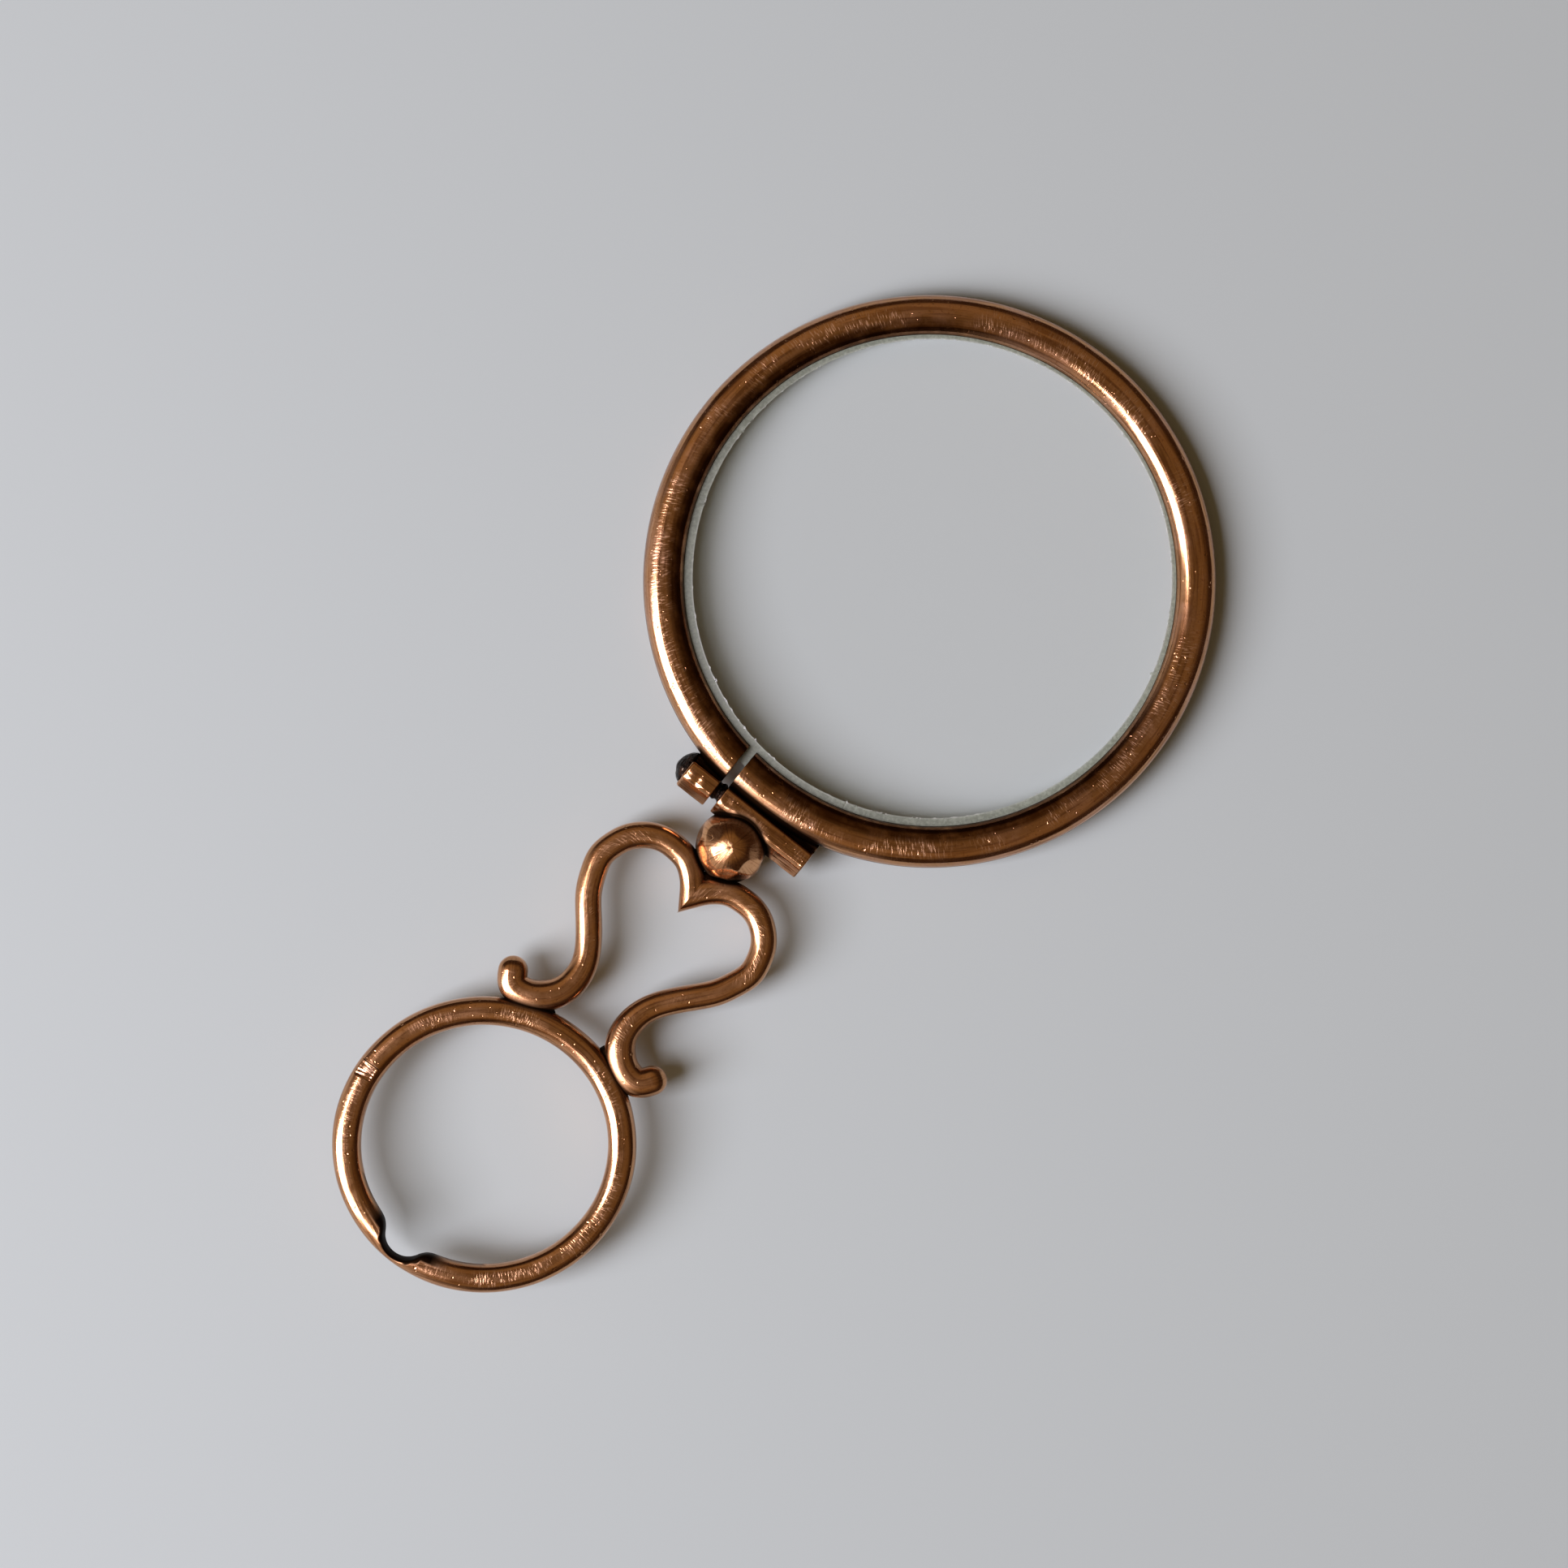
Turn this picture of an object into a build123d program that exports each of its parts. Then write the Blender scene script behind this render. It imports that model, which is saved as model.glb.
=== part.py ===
from build123d import *
from math import asin, cos, pi, radians, sin, sqrt
import os

# Quizzing glass: a round lens in a split wire rim, held shut by a screw through two
# barrels, on a heart of two S-scrolls that stands on a finger ring.
# X runs along the barrels, Y along the handle towards the lens, Z up from the table.

# Lens
lens_radius = 19.3
lens_centre_thickness = 3.2
lens_bevel_thickness = 1.5
lens_edge_thickness = 0.7
lens_bevel_width = 1.61

# Rim: round wire, grooved inside, with one saw cut
rim_wire_radius = 1.52
rim_over_lens = 1.86
groove_clearance = 0.02
groove_depth_clearance = 0.1
saw_cut_x = -2.55
saw_cut_width = 0.68

# Barrels
barrel_stand = 0.64
barrel_radius = 1.6
thread_barrel_length = 7.95
head_barrel_length = 2.55
barrel_end_round = 0.25
barrel_edge_round = 0.08
bore_clearance = 0.03

# Clamp screw
shank_radius = 0.77
screw_head_clearance = 0.05
screw_head_height = 0.95
screw_head_rim = 0.12
screw_engaged_length = 7.35
screw_tip_chamfer = 0.2
slot_width = 0.34
slot_depth = 0.42

# Bead
bead_radius = 2.7
bead_x = 0.67
bead_top_height = 1.9
bead_sink = 1.08
bead_seat = 0.87
quarter_turn = 90

# Heart: centreline of one scroll, from the cleft round the lobe to the narrow waist, as
# (distance from the heart's axis, height above the ring's outer edge)
scroll_points = [
    (0.0, 12.88), (0.55, 13.6), (1.17, 14.18), (2.0, 14.66), (3.03, 14.85), (3.89, 14.85),
    (4.84, 14.59), (5.69, 14.05), (6.45, 13.18), (6.9, 12.07), (7.05, 11.0), (6.68, 9.66),
    (6.01, 8.31), (4.88, 6.91), (3.58, 5.32), (2.83, 3.95), (2.6, 2.67),
]
# The foot's centreline: degrees round the ring from the handle, and height off the ring
foot_angles = [12.8, 17.6, 24.0, 29.0, 29.9]
foot_rises = [1.64, 0.79, 0.54, 1.06, 2.03]
heart_axis_x = 0.23
heart_lean_share = 0.03
wire_radius = 1.0
foot_swell_share = 1.17
bulb_swell_share = 1.12
foot_start_share = 0.66
foot_full_share = 0.88
foot_steps = 10
cleft_overrun = 2.2

# Suspension ring
ring_outer_radius = 11.12
ring_wire_radius = 1.08
notch_x = -0.29
notch_radius = 1.75
notch_neck = 0.75
notch_link_radius = 1.2
notch_shoulder_radius = 1.8
notch_shoulder_depth = 0.08
notch_sweep = 75
notch_edge_round = 0.25
punch_width = 1.0
punch_length = 1.1
punch_depth = 0.12
punch_angle = 185.2

# Sizes that follow
rim_outer_radius = lens_radius + rim_over_lens
bevel_inner_radius = lens_radius - lens_bevel_width
lens_sag = (lens_centre_thickness - lens_bevel_thickness) / 2
lens_face_radius = (bevel_inner_radius**2 + lens_sag**2) / (2 * lens_sag)
rim_centre_radius = rim_outer_radius - rim_wire_radius
ring_centre_radius = ring_outer_radius - ring_wire_radius
foot_radius = wire_radius * foot_swell_share
bulb_radius = wire_radius * bulb_swell_share
bore_radius = shank_radius + bore_clearance
notch_reach = notch_radius + notch_shoulder_radius + ring_wire_radius
heart_height = max(rise for width, rise in scroll_points) + wire_radius

# Heights above the ring's centre, up the handle
bead_height = ring_outer_radius + heart_height + bead_radius - bead_sink
barrel_height = bead_height + bead_top_height + barrel_radius - bead_seat
lens_height = barrel_height + barrel_stand + rim_outer_radius
overall_length = ring_outer_radius + lens_height + rim_outer_radius

# Places in the frame
mid_z = bead_radius
ring_y = ring_outer_radius - overall_length / 2
lens_y = ring_y + lens_height
barrel_y = ring_y + barrel_height
bead_y = ring_y + bead_height
cut_left_x = saw_cut_x - saw_cut_width / 2
cut_right_x = saw_cut_x + saw_cut_width / 2
head_end_x = cut_left_x - head_barrel_length
rim_edge_at_head = sqrt(rim_outer_radius**2 - head_end_x**2)
screw_head_radius = rim_outer_radius + barrel_stand - rim_edge_at_head - screw_head_clearance


def torus_at(x, y, centre_radius, wire):
    """A wire hoop lying flat in the middle plane."""
    return Pos(x, y, mid_z) * Torus(centre_radius, wire)


def rod_x(start_x, length, radius):
    """A round rod on the barrels' axis from start_x towards +X."""
    place = Plane(origin=(start_x, barrel_y, mid_z), x_dir=(0, 1, 0), z_dir=(1, 0, 0))
    return place * Cylinder(radius, length, align=(Align.CENTER, Align.CENTER, Align.MIN))


def bevel_half_thickness(radius):
    """Half the lens's thickness on the ground bevel at this radius."""
    inner_half = lens_bevel_thickness / 2
    edge_half = lens_edge_thickness / 2
    share = (radius - bevel_inner_radius) / (lens_radius - bevel_inner_radius)
    return inner_half + (edge_half - inner_half) * share


def turned(points):
    """A closed outline in (radius, height) turned about the lens's axis."""
    face = make_face(Polyline(*points, close=True))
    return Pos(0, lens_y, mid_z) * revolve(Plane.XZ * face, Axis.Z)


def lens_groove():
    """The groove's cutter: the lens's bevel with clearance."""
    inner = bevel_inner_radius
    outer = lens_radius + groove_depth_clearance
    inner_half = bevel_half_thickness(inner) + groove_clearance
    outer_half = bevel_half_thickness(lens_radius) + groove_clearance
    return turned([(inner, -inner_half), (outer, -outer_half), (outer, outer_half), (inner, inner_half)])


def saw_cut():
    """The straight cut through the rim wire at the barrels' gap."""
    reach = rim_outer_radius
    cut = Box(saw_cut_width, reach, 2 * bead_radius, align=(Align.CENTER, Align.MAX, Align.CENTER))
    return Pos(saw_cut_x, lens_y - bevel_inner_radius / 2, mid_z) * cut


def thread_barrel_blank():
    """The long tube before boring, its two edges broken."""
    rod = rod_x(cut_right_x, thread_barrel_length, barrel_radius)
    return fillet(rod.edges().filter_by(GeomType.CIRCLE), barrel_edge_round)


def head_barrel_blank():
    """The short tube before boring, rounded at the screw head's end."""
    rod = rod_x(head_end_x, head_barrel_length, barrel_radius)
    ends = rod.edges().filter_by(GeomType.CIRCLE).sort_by(Axis.X)
    rounded = fillet(ends[0], barrel_end_round)
    inner = rounded.edges().filter_by(GeomType.CIRCLE).sort_by(Axis.X)[-1]
    return fillet(inner, barrel_edge_round)


def lens_rim():
    """Grooved wire hoop with the saw cut and the seats of the barrels."""
    hoop = torus_at(0, lens_y, rim_centre_radius, rim_wire_radius)
    hoop = hoop - lens_groove() - saw_cut()
    return hoop - thread_barrel_blank() - head_barrel_blank()


def lens():
    """Biconvex glass with a ground bevel down to its narrow edge."""
    half = lens_centre_thickness / 2
    inner_half = bevel_half_thickness(bevel_inner_radius)
    edge_half = bevel_half_thickness(lens_radius)
    arc_radius = bevel_inner_radius / 2
    arc_half = half - lens_face_radius + sqrt(lens_face_radius**2 - arc_radius**2)
    top = ThreePointArc((0, half), (arc_radius, arc_half), (bevel_inner_radius, inner_half))
    edge = Polyline(
        (bevel_inner_radius, inner_half), (lens_radius, edge_half),
        (lens_radius, -edge_half), (bevel_inner_radius, -inner_half),
    )
    bottom = ThreePointArc((bevel_inner_radius, -inner_half), (arc_radius, -arc_half), (0, -half))
    axis = Line((0, -half), (0, half))
    face = make_face([top, edge, bottom, axis])
    return Pos(0, lens_y, mid_z) * revolve(Plane.XZ * face, Axis.Z)


def thread_barrel():
    """Long tube right of the saw cut, bored for the screw's thread."""
    return thread_barrel_blank() - rod_x(cut_right_x, thread_barrel_length, bore_radius)


def head_barrel():
    """Short tube left of the saw cut, bored to clear the shank."""
    return head_barrel_blank() - rod_x(head_end_x, head_barrel_length, bore_radius)


def clamp_screw():
    """Screw with a domed head, slotted across its face."""
    dome = screw_head_height - screw_head_rim
    dome_radius = (screw_head_radius**2 + dome**2) / (2 * dome)
    mid_angle = asin(screw_head_radius / dome_radius) / 2
    mid_x = -screw_head_height + dome_radius * (1 - cos(mid_angle))
    mid_point = (mid_x, dome_radius * sin(mid_angle))
    length = head_barrel_length + saw_cut_width + screw_engaged_length
    arc = ThreePointArc((-screw_head_height, 0), mid_point, (-screw_head_rim, screw_head_radius))
    shape = Polyline(
        (-screw_head_rim, screw_head_radius), (0, screw_head_radius), (0, shank_radius),
        (length - screw_tip_chamfer, shank_radius), (length, shank_radius - screw_tip_chamfer),
        (length, 0), (-screw_head_height, 0),
    )
    body = revolve(make_face([arc, shape]), Axis.X)
    slot = Box(slot_depth, 2 * barrel_radius, slot_width, align=(Align.MIN, Align.CENTER, Align.CENTER))
    return Pos(head_end_x, barrel_y, mid_z) * (body - Pos(-screw_head_height, 0, 0) * slot)


def bead_ball():
    """The whole bead: half a ball below, a flatter half above, turned about the handle."""
    bottom = CenterArc((0, 0), bead_radius, -quarter_turn, quarter_turn)
    top = EllipticalCenterArc((0, 0), bead_radius, bead_top_height, arc_size=quarter_turn)
    axis = Line((0, bead_top_height), (0, -bead_radius))
    ball = revolve(make_face([bottom, top, axis]), Axis.Y)
    return Pos(bead_x, bead_y, mid_z) * ball


def bead():
    """The bead, hollowed on its upper side to sit on the long barrel."""
    return bead_ball() - thread_barrel_blank()


def heart_place(width, height, side):
    """A point of the leaning heart, from its distance off the axis and height up the handle."""
    lean = heart_lean_share * (height - ring_outer_radius)
    return (heart_axis_x + lean + side * width, ring_y + height, mid_z)


def scroll_path(side):
    """Centreline of the scroll on one side, -1 left or 1 right."""
    places = [heart_place(width, ring_outer_radius + rise, side) for width, rise in scroll_points]
    for angle, rise in zip(foot_angles, foot_rises):
        reach = ring_outer_radius + rise
        places.append(heart_place(reach * sin(radians(angle)), reach * cos(radians(angle)), side))
    return Spline(*places)


def section(path, share, radius):
    """The wire's round section at a share of the centreline."""
    return Plane(origin=path @ share, z_dir=path % share) * Circle(radius)


def foot_section(path, step):
    """One of the evenly spaced sections through the swelling foot."""
    share = foot_start_share + (1 - foot_start_share) * step / foot_steps
    rise = min(1, (share - foot_start_share) / (foot_full_share - foot_start_share))
    fall = max(0, (share - foot_full_share) / (1 - foot_full_share))
    swell = (foot_radius - wire_radius) * (1 - cos(pi * rise)) / 2
    return section(path, share, wire_radius + swell - (foot_radius - bulb_radius) * fall**2)


def cleft_side(side):
    """The half space on the other side of the heart's axis, where the wires are mitred."""
    base = Plane(
        origin=heart_place(0, ring_outer_radius + scroll_points[0][1], side),
        x_dir=(0, 0, 1),
        z_dir=(-side, side * heart_lean_share, 0),
    )
    size = 4 * bead_radius
    return base * Box(size, size, size, align=(Align.CENTER, Align.CENTER, Align.MIN))


def cleft_stub(path):
    """The wire carried straight on past the heart's axis, before the mitre is cut."""
    start = Plane(origin=path @ 0, z_dir=-(path % 0))
    return start * Cylinder(wire_radius, cleft_overrun, align=(Align.CENTER, Align.CENTER, Align.MIN))


def scroll(side):
    """One wire of the heart, swollen at the foot, mitred and seated on bead and ring."""
    path = scroll_path(side)
    straight = path.trim(0, foot_start_share)
    wire = sweep(section(path, 0, wire_radius), path=straight)
    wire = wire + loft([foot_section(path, step) for step in range(foot_steps + 1)])
    tip = Plane(origin=path @ 1, x_dir=(0, 0, 1), z_dir=path % 1)
    half_ball = Sphere(bulb_radius, arc_size1=0, align=(Align.CENTER, Align.CENTER, Align.MIN))
    wire = wire + tip * half_ball
    wire = wire + cleft_stub(path)
    ring = torus_at(0, ring_y, ring_centre_radius, ring_wire_radius)
    return wire - cleft_side(side) - bead_ball() - ring


def wear_notch():
    """The saddle that a hanging link has worn into the ring, flared at both shoulders."""
    bottom_y = ring_y - ring_outer_radius + notch_neck
    inside = ring_centre_radius - ring_wire_radius - notch_shoulder_depth
    plan = Pos(0, ring_y) * Circle(inside) + Pos(notch_x, bottom_y + notch_radius) * Circle(notch_radius)
    corners = plan.vertices().sort_by(Axis.Y)[:2]
    plan = fillet(corners, notch_shoulder_radius)
    window = Rectangle(2 * notch_reach, notch_reach)
    plan = Pos(0, 0, mid_z) * (plan & Pos(notch_x, bottom_y) * window)
    link_centre = (notch_x, bottom_y - notch_link_radius, mid_z)
    upper = revolve(plan, Axis(link_centre, (1, 0, 0)), notch_sweep)
    lower = revolve(plan, Axis(link_centre, (-1, 0, 0)), notch_sweep)
    return upper + lower


def punch_mark():
    """A shallow blank punch mark across the crown of the ring."""
    turn = radians(punch_angle)
    place = Pos(ring_centre_radius * cos(turn), ring_y + ring_centre_radius * sin(turn), mid_z)
    mark = Box(punch_width, punch_length, bead_radius, align=(Align.CENTER, Align.CENTER, Align.MIN))
    return place * Rot(0, 0, punch_angle) * Pos(0, 0, ring_wire_radius - punch_depth) * mark


def suspension_ring():
    """Finger ring of round wire with the wear notch and the punch mark."""
    wire = Plane(origin=(0, ring_y + ring_centre_radius, mid_z), z_dir=(1, 0, 0)) * Circle(ring_wire_radius)
    ring = revolve(wire, Axis((0, ring_y, mid_z), (0, 0, 1))) - wear_notch()
    worn = [edge for edge in ring.edges() if edge.geom_type != GeomType.CIRCLE]
    return fillet(worn, notch_edge_round) - punch_mark()


def main():
    os.makedirs("parts", exist_ok=True)
    pieces = {
        "lens_rim": lens_rim(),
        "lens": lens(),
        "thread_barrel": thread_barrel(),
        "head_barrel": head_barrel(),
        "clamp_screw": clamp_screw(),
        "bead": bead(),
        "left_scroll": scroll(-1),
        "right_scroll": scroll(1),
        "suspension_ring": suspension_ring(),
    }
    for name, shape in pieces.items():
        solids = shape.solids()
        export_step(solids[0] if len(solids) == 1 else shape, f"parts/{name}.step")
        print(name, len(solids), round(shape.volume, 3))


main()
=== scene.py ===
# %% [markdown]
# # A quizzing glass in rose metal
# The object is a single lens on a short handle: a round wire rim with a saw cut, two small
# tubes and a screw that pull the cut shut, a ball, a heart bent from two wires and a finger
# ring. This file dresses the measured solids with the shapes and finishes that a hand-made
# piece has. The solids are the fixed frame: they say where everything sits, and every new
# piece is worked out from their sizes.

import bmesh
import bpy
import numpy as np
from mathutils import Matrix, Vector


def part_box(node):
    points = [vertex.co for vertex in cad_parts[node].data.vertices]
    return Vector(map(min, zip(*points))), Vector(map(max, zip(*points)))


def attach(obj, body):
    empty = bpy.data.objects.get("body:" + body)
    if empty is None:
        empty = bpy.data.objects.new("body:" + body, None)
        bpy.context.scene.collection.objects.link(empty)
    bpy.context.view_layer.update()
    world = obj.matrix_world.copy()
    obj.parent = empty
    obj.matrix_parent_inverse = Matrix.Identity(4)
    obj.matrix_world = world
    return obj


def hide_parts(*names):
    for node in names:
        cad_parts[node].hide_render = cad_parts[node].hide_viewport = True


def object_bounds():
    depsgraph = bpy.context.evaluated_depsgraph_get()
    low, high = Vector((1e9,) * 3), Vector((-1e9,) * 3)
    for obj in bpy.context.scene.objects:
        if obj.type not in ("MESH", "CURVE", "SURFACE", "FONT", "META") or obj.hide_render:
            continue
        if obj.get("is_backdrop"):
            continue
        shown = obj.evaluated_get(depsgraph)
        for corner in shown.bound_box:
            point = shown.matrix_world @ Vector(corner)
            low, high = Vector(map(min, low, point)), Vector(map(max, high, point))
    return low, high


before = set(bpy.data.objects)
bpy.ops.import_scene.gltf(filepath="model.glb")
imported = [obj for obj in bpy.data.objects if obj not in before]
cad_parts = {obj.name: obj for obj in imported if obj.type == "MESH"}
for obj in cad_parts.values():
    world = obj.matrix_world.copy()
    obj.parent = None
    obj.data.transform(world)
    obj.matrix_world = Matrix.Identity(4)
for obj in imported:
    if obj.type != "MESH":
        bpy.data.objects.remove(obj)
cad_low, cad_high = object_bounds()
mm = 0.001
print("box of the solids in mm:", [round(side / mm, 2) for side in cad_high - cad_low])

# %% [markdown]
# ## Sizes
# Nothing is typed twice: radii and centres are read from the boxes of the solids. A round
# wire that lies flat is as high as it is thick, so its box gives the wire's radius too.

# %% Read sizes and places from the solids
rim_low, rim_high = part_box("lens_rim")
rim_radius = (rim_high.x - rim_low.x) / 2
rim_wire = (rim_high.z - rim_low.z) / 2
rim_path_radius = rim_radius - rim_wire
middle_z = (rim_high.z + rim_low.z) / 2
lens_centre = np.array([0.0, rim_high.y - rim_radius, middle_z])

lens_low, lens_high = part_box("lens")
lens_radius = (lens_high.x - lens_low.x) / 2
lens_half = (lens_high.z - lens_low.z) / 2

ring_low, ring_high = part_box("suspension_ring")
ring_radius = (ring_high.x - ring_low.x) / 2
ring_wire = (ring_high.z - ring_low.z) / 2
ring_path_radius = ring_radius - ring_wire
ring_centre = np.array([0.0, ring_low.y + ring_radius, middle_z])

long_low, long_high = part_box("thread_barrel")
short_low, short_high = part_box("head_barrel")
screw_low, screw_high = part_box("clamp_screw")
barrel_radius = (long_high.z - long_low.z) / 2
barrel_y = (long_high.y + long_low.y) / 2

bead_low, bead_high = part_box("bead")
bead_radius = (bead_high.x - bead_low.x) / 2
bead_centre = np.array([(bead_high.x + bead_low.x) / 2, bead_low.y + bead_radius, middle_z])
print("rim, lens, ring and ball radii in mm:",
      [round(radius / mm, 2) for radius in (rim_radius, lens_radius, ring_radius, bead_radius)])

# %% [markdown]
# ## From a grid of points to a piece
# Every shape below is a grid of points: rows along the piece, columns around it. Helpers
# close such a grid into a mesh: cells become four-sided faces, a wrapped direction
# joins its last line to its first, open ends get one flat face, points that fall together
# are welded, and the faces are turned outwards by the sign of the enclosed volume. Each
# face corner keeps how far it is along and around the wire, in millimetres, because wear
# on a wire follows its length.

# %% Grid helpers
def joined(*parts):
    """One array from parts of any shapes that fit together, with the parts along its last axis."""
    return np.stack(np.broadcast_arrays(*parts), axis=-1)


def grid_cells(rows, columns, wrap_rows, wrap_columns):
    """Cells of a grid: corners (i, j), (i+1, j), (i+1, j+1), (i, j+1), before and after wrapping."""
    i, j = np.meshgrid(np.arange(rows - (not wrap_rows)), np.arange(columns - (not wrap_columns)),
                       indexing="ij")
    i, j = joined(i, i + 1, i + 1, i).reshape(-1, 4), joined(j, j, j + 1, j + 1).reshape(-1, 4)
    return i, j, (i % rows) * columns + j % columns


def enclosed_volume(points, quads):
    """Sum over triangles of a . (b x c) / 6, positive where the faces point outwards."""
    a, b, c, d = (points[quads[:, k]] for k in range(4))
    return (a * (np.cross(b, c) + np.cross(c, d))).sum() / 6


def make_piece(name, points, along, around, wrap_rows, attributes, crease=40, weld=2e-6):
    """A closed mesh from points[row, column]; columns always wrap, and open rows get end faces."""
    rows, columns = points.shape[:2]
    flat = points.reshape(-1, 3)
    i, j, quads = grid_cells(rows, columns, wrap_rows, True)
    outwards = enclosed_volume(flat - flat.mean(axis=0), quads) > 0
    order = slice(None) if outwards else slice(None, None, -1)
    faces = quads[:, order].tolist()
    corners = joined(along[i], around[j])[:, order].reshape(-1, 2)
    if not wrap_rows:
        start, end = np.arange(columns), np.arange(columns) + (rows - 1) * columns
        ends = [start[::-1], end] if outwards else [start, end[::-1]]
        faces += [face.tolist() for face in ends]
        corners = np.concatenate([corners, np.zeros((2 * columns, 2))])
    mesh = bpy.data.meshes.new(name)
    mesh.from_pydata(flat.tolist(), [], faces)
    mesh.uv_layers.new(name="wire").data.foreach_set("uv", (corners / mm).astype(np.float32).ravel())
    for key, values in attributes.items():
        layer = mesh.attributes.new(key, "FLOAT", "POINT")
        layer.data.foreach_set("value", values.astype(np.float32).ravel())
    loose = bmesh.new()
    loose.from_mesh(mesh)
    bmesh.ops.remove_doubles(loose, verts=loose.verts, dist=weld)
    loose.to_mesh(mesh)
    loose.free()
    mesh.polygons.foreach_set("use_smooth", [True] * len(mesh.polygons))
    mesh.set_sharp_from_angle(angle=np.radians(crease))
    piece = bpy.data.objects.new(name, mesh)
    bpy.context.scene.collection.objects.link(piece)
    print(name, "has", len(mesh.polygons), "faces")
    return piece


# %% [markdown]
# ## Uneven by hand
# Drawn wire that was bent, filed and polished by hand is never quite round. A bump texture
# would show that in the light only, so the shape itself is uneven here. A sum of slow sine
# waves in random directions is smooth anywhere in space, and it is only ever taken off the
# surface. Rubbing also flattened the crowns, so a section is slightly squared: its flat
# top shows more of the light above, and its steep sides less. Where a file cut a flat, the
# lower of two surfaces is left, and a soft minimum rounds the edge between them.

# %% Waves, steps, bells and rounded corners
squareness = 2.7


def waves(points, length, seed, terms=14):
    """Between 0 and 1: (1 + mean of sin(2 pi p . d / length + phase)) / 2 over random d and phases."""
    draw = np.random.default_rng(seed)
    heading = draw.normal(size=(terms, 3))
    heading /= np.linalg.norm(heading, axis=1, keepdims=True) * draw.uniform(0.7, 1.5, (terms, 1))
    phase = draw.uniform(0, 2 * np.pi, terms)
    total = np.sin(points @ heading.T * (2 * np.pi / length) + phase).sum(axis=-1)
    return 0.5 + 0.5 * np.clip(total / (1.6 * np.sqrt(terms)), -1, 1)


def smoothstep(values, low, high):
    """0 below low, 1 above high, and 3t^2 - 2t^3 between them."""
    t = np.clip((values - low) / (high - low), 0, 1)
    return t * t * (3 - 2 * t)


def bell(off, reach, power=2):
    """1 in the middle and near 0 past the reach: exp(-(off / reach)^power)."""
    return np.exp(-((off / reach) ** power))


def angle_from(angle, start):
    """The signed way from one angle to another: (angle - start + pi) mod 2 pi, less pi."""
    return (angle - start + np.pi) % (2 * np.pi) - np.pi


def squared(outward, up):
    """What a point of a round section is multiplied by to square it a little: (|cos|^n + |sin|^n)^(-1/n)."""
    size = np.maximum(np.hypot(outward, up), 1e-12)
    return (np.abs(outward / size) ** squareness + np.abs(up / size) ** squareness) ** (-1 / squareness)


def soft_least(radii, softness):
    """The least of the last axis with its corners rounded: least - k log(sum exp(-(r - least) / k))."""
    least = radii.min(axis=-1, keepdims=True)
    return least[..., 0] - softness * np.log(np.exp(-(radii - least) / softness).sum(axis=-1))


def heading_of(rise, turn):
    """The unit vector at a rise v and a turn u: (cos v cos u, cos v sin u, sin v)."""
    return joined(np.cos(rise) * np.cos(turn), np.cos(rise) * np.sin(turn), np.sin(rise))


def sphere_headings(rows, columns):
    """Unit vectors by latitude from the bottom pole and longitude."""
    rise = np.linspace(-np.pi / 2, np.pi / 2, rows)[:, None]
    return heading_of(rise, np.linspace(0, 2 * np.pi, columns, endpoint=False))


print("a squared section's corners stand out by percent:", round(100 * (squared(1.0, 1.0) - 1), 1))

# %% [markdown]
# ## The heart's line
# Each half of the heart is one wire: from the cleft over the lobe, in at the waist and out
# to a foot that curls up on the ring. The line is a cubic spline through listed points, the
# same line as the solid's, because a spline bends the way that wire does. At both ends it
# runs straight on, which is needed where the wires are mitred.

# %% Line of one scroll
scroll_points = np.array([
    (0.0, 12.88), (0.55, 13.6), (1.17, 14.18), (2.0, 14.66), (3.03, 14.85), (3.89, 14.85),
    (4.84, 14.59), (5.69, 14.05), (6.45, 13.18), (6.9, 12.07), (7.05, 11.0), (6.68, 9.66),
    (6.01, 8.31), (4.88, 6.91), (3.58, 5.32), (2.83, 3.95), (2.6, 2.67),
]) * mm
foot_angles = np.radians([12.8, 17.6, 24.0, 29.0, 29.9])
foot_rises = np.array([1.64, 0.79, 0.54, 1.06, 2.03]) * mm
heart_axis_x = 0.23 * mm
heart_lean_share = 0.03
scroll_wire = 1.0 * mm


def scroll_knots(side):
    """Points of the scroll's line, side -1 left or 1 right: lobe by width and height, foot by angle."""
    width, height = scroll_points[:, 0], ring_radius + scroll_points[:, 1]
    reach = ring_radius + foot_rises
    width = np.concatenate([width, reach * np.sin(foot_angles)])
    height = np.concatenate([height, reach * np.cos(foot_angles)])
    x = heart_axis_x + heart_lean_share * (height - ring_radius) + side * width
    return joined(x, ring_centre[1] + height, middle_z)


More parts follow.
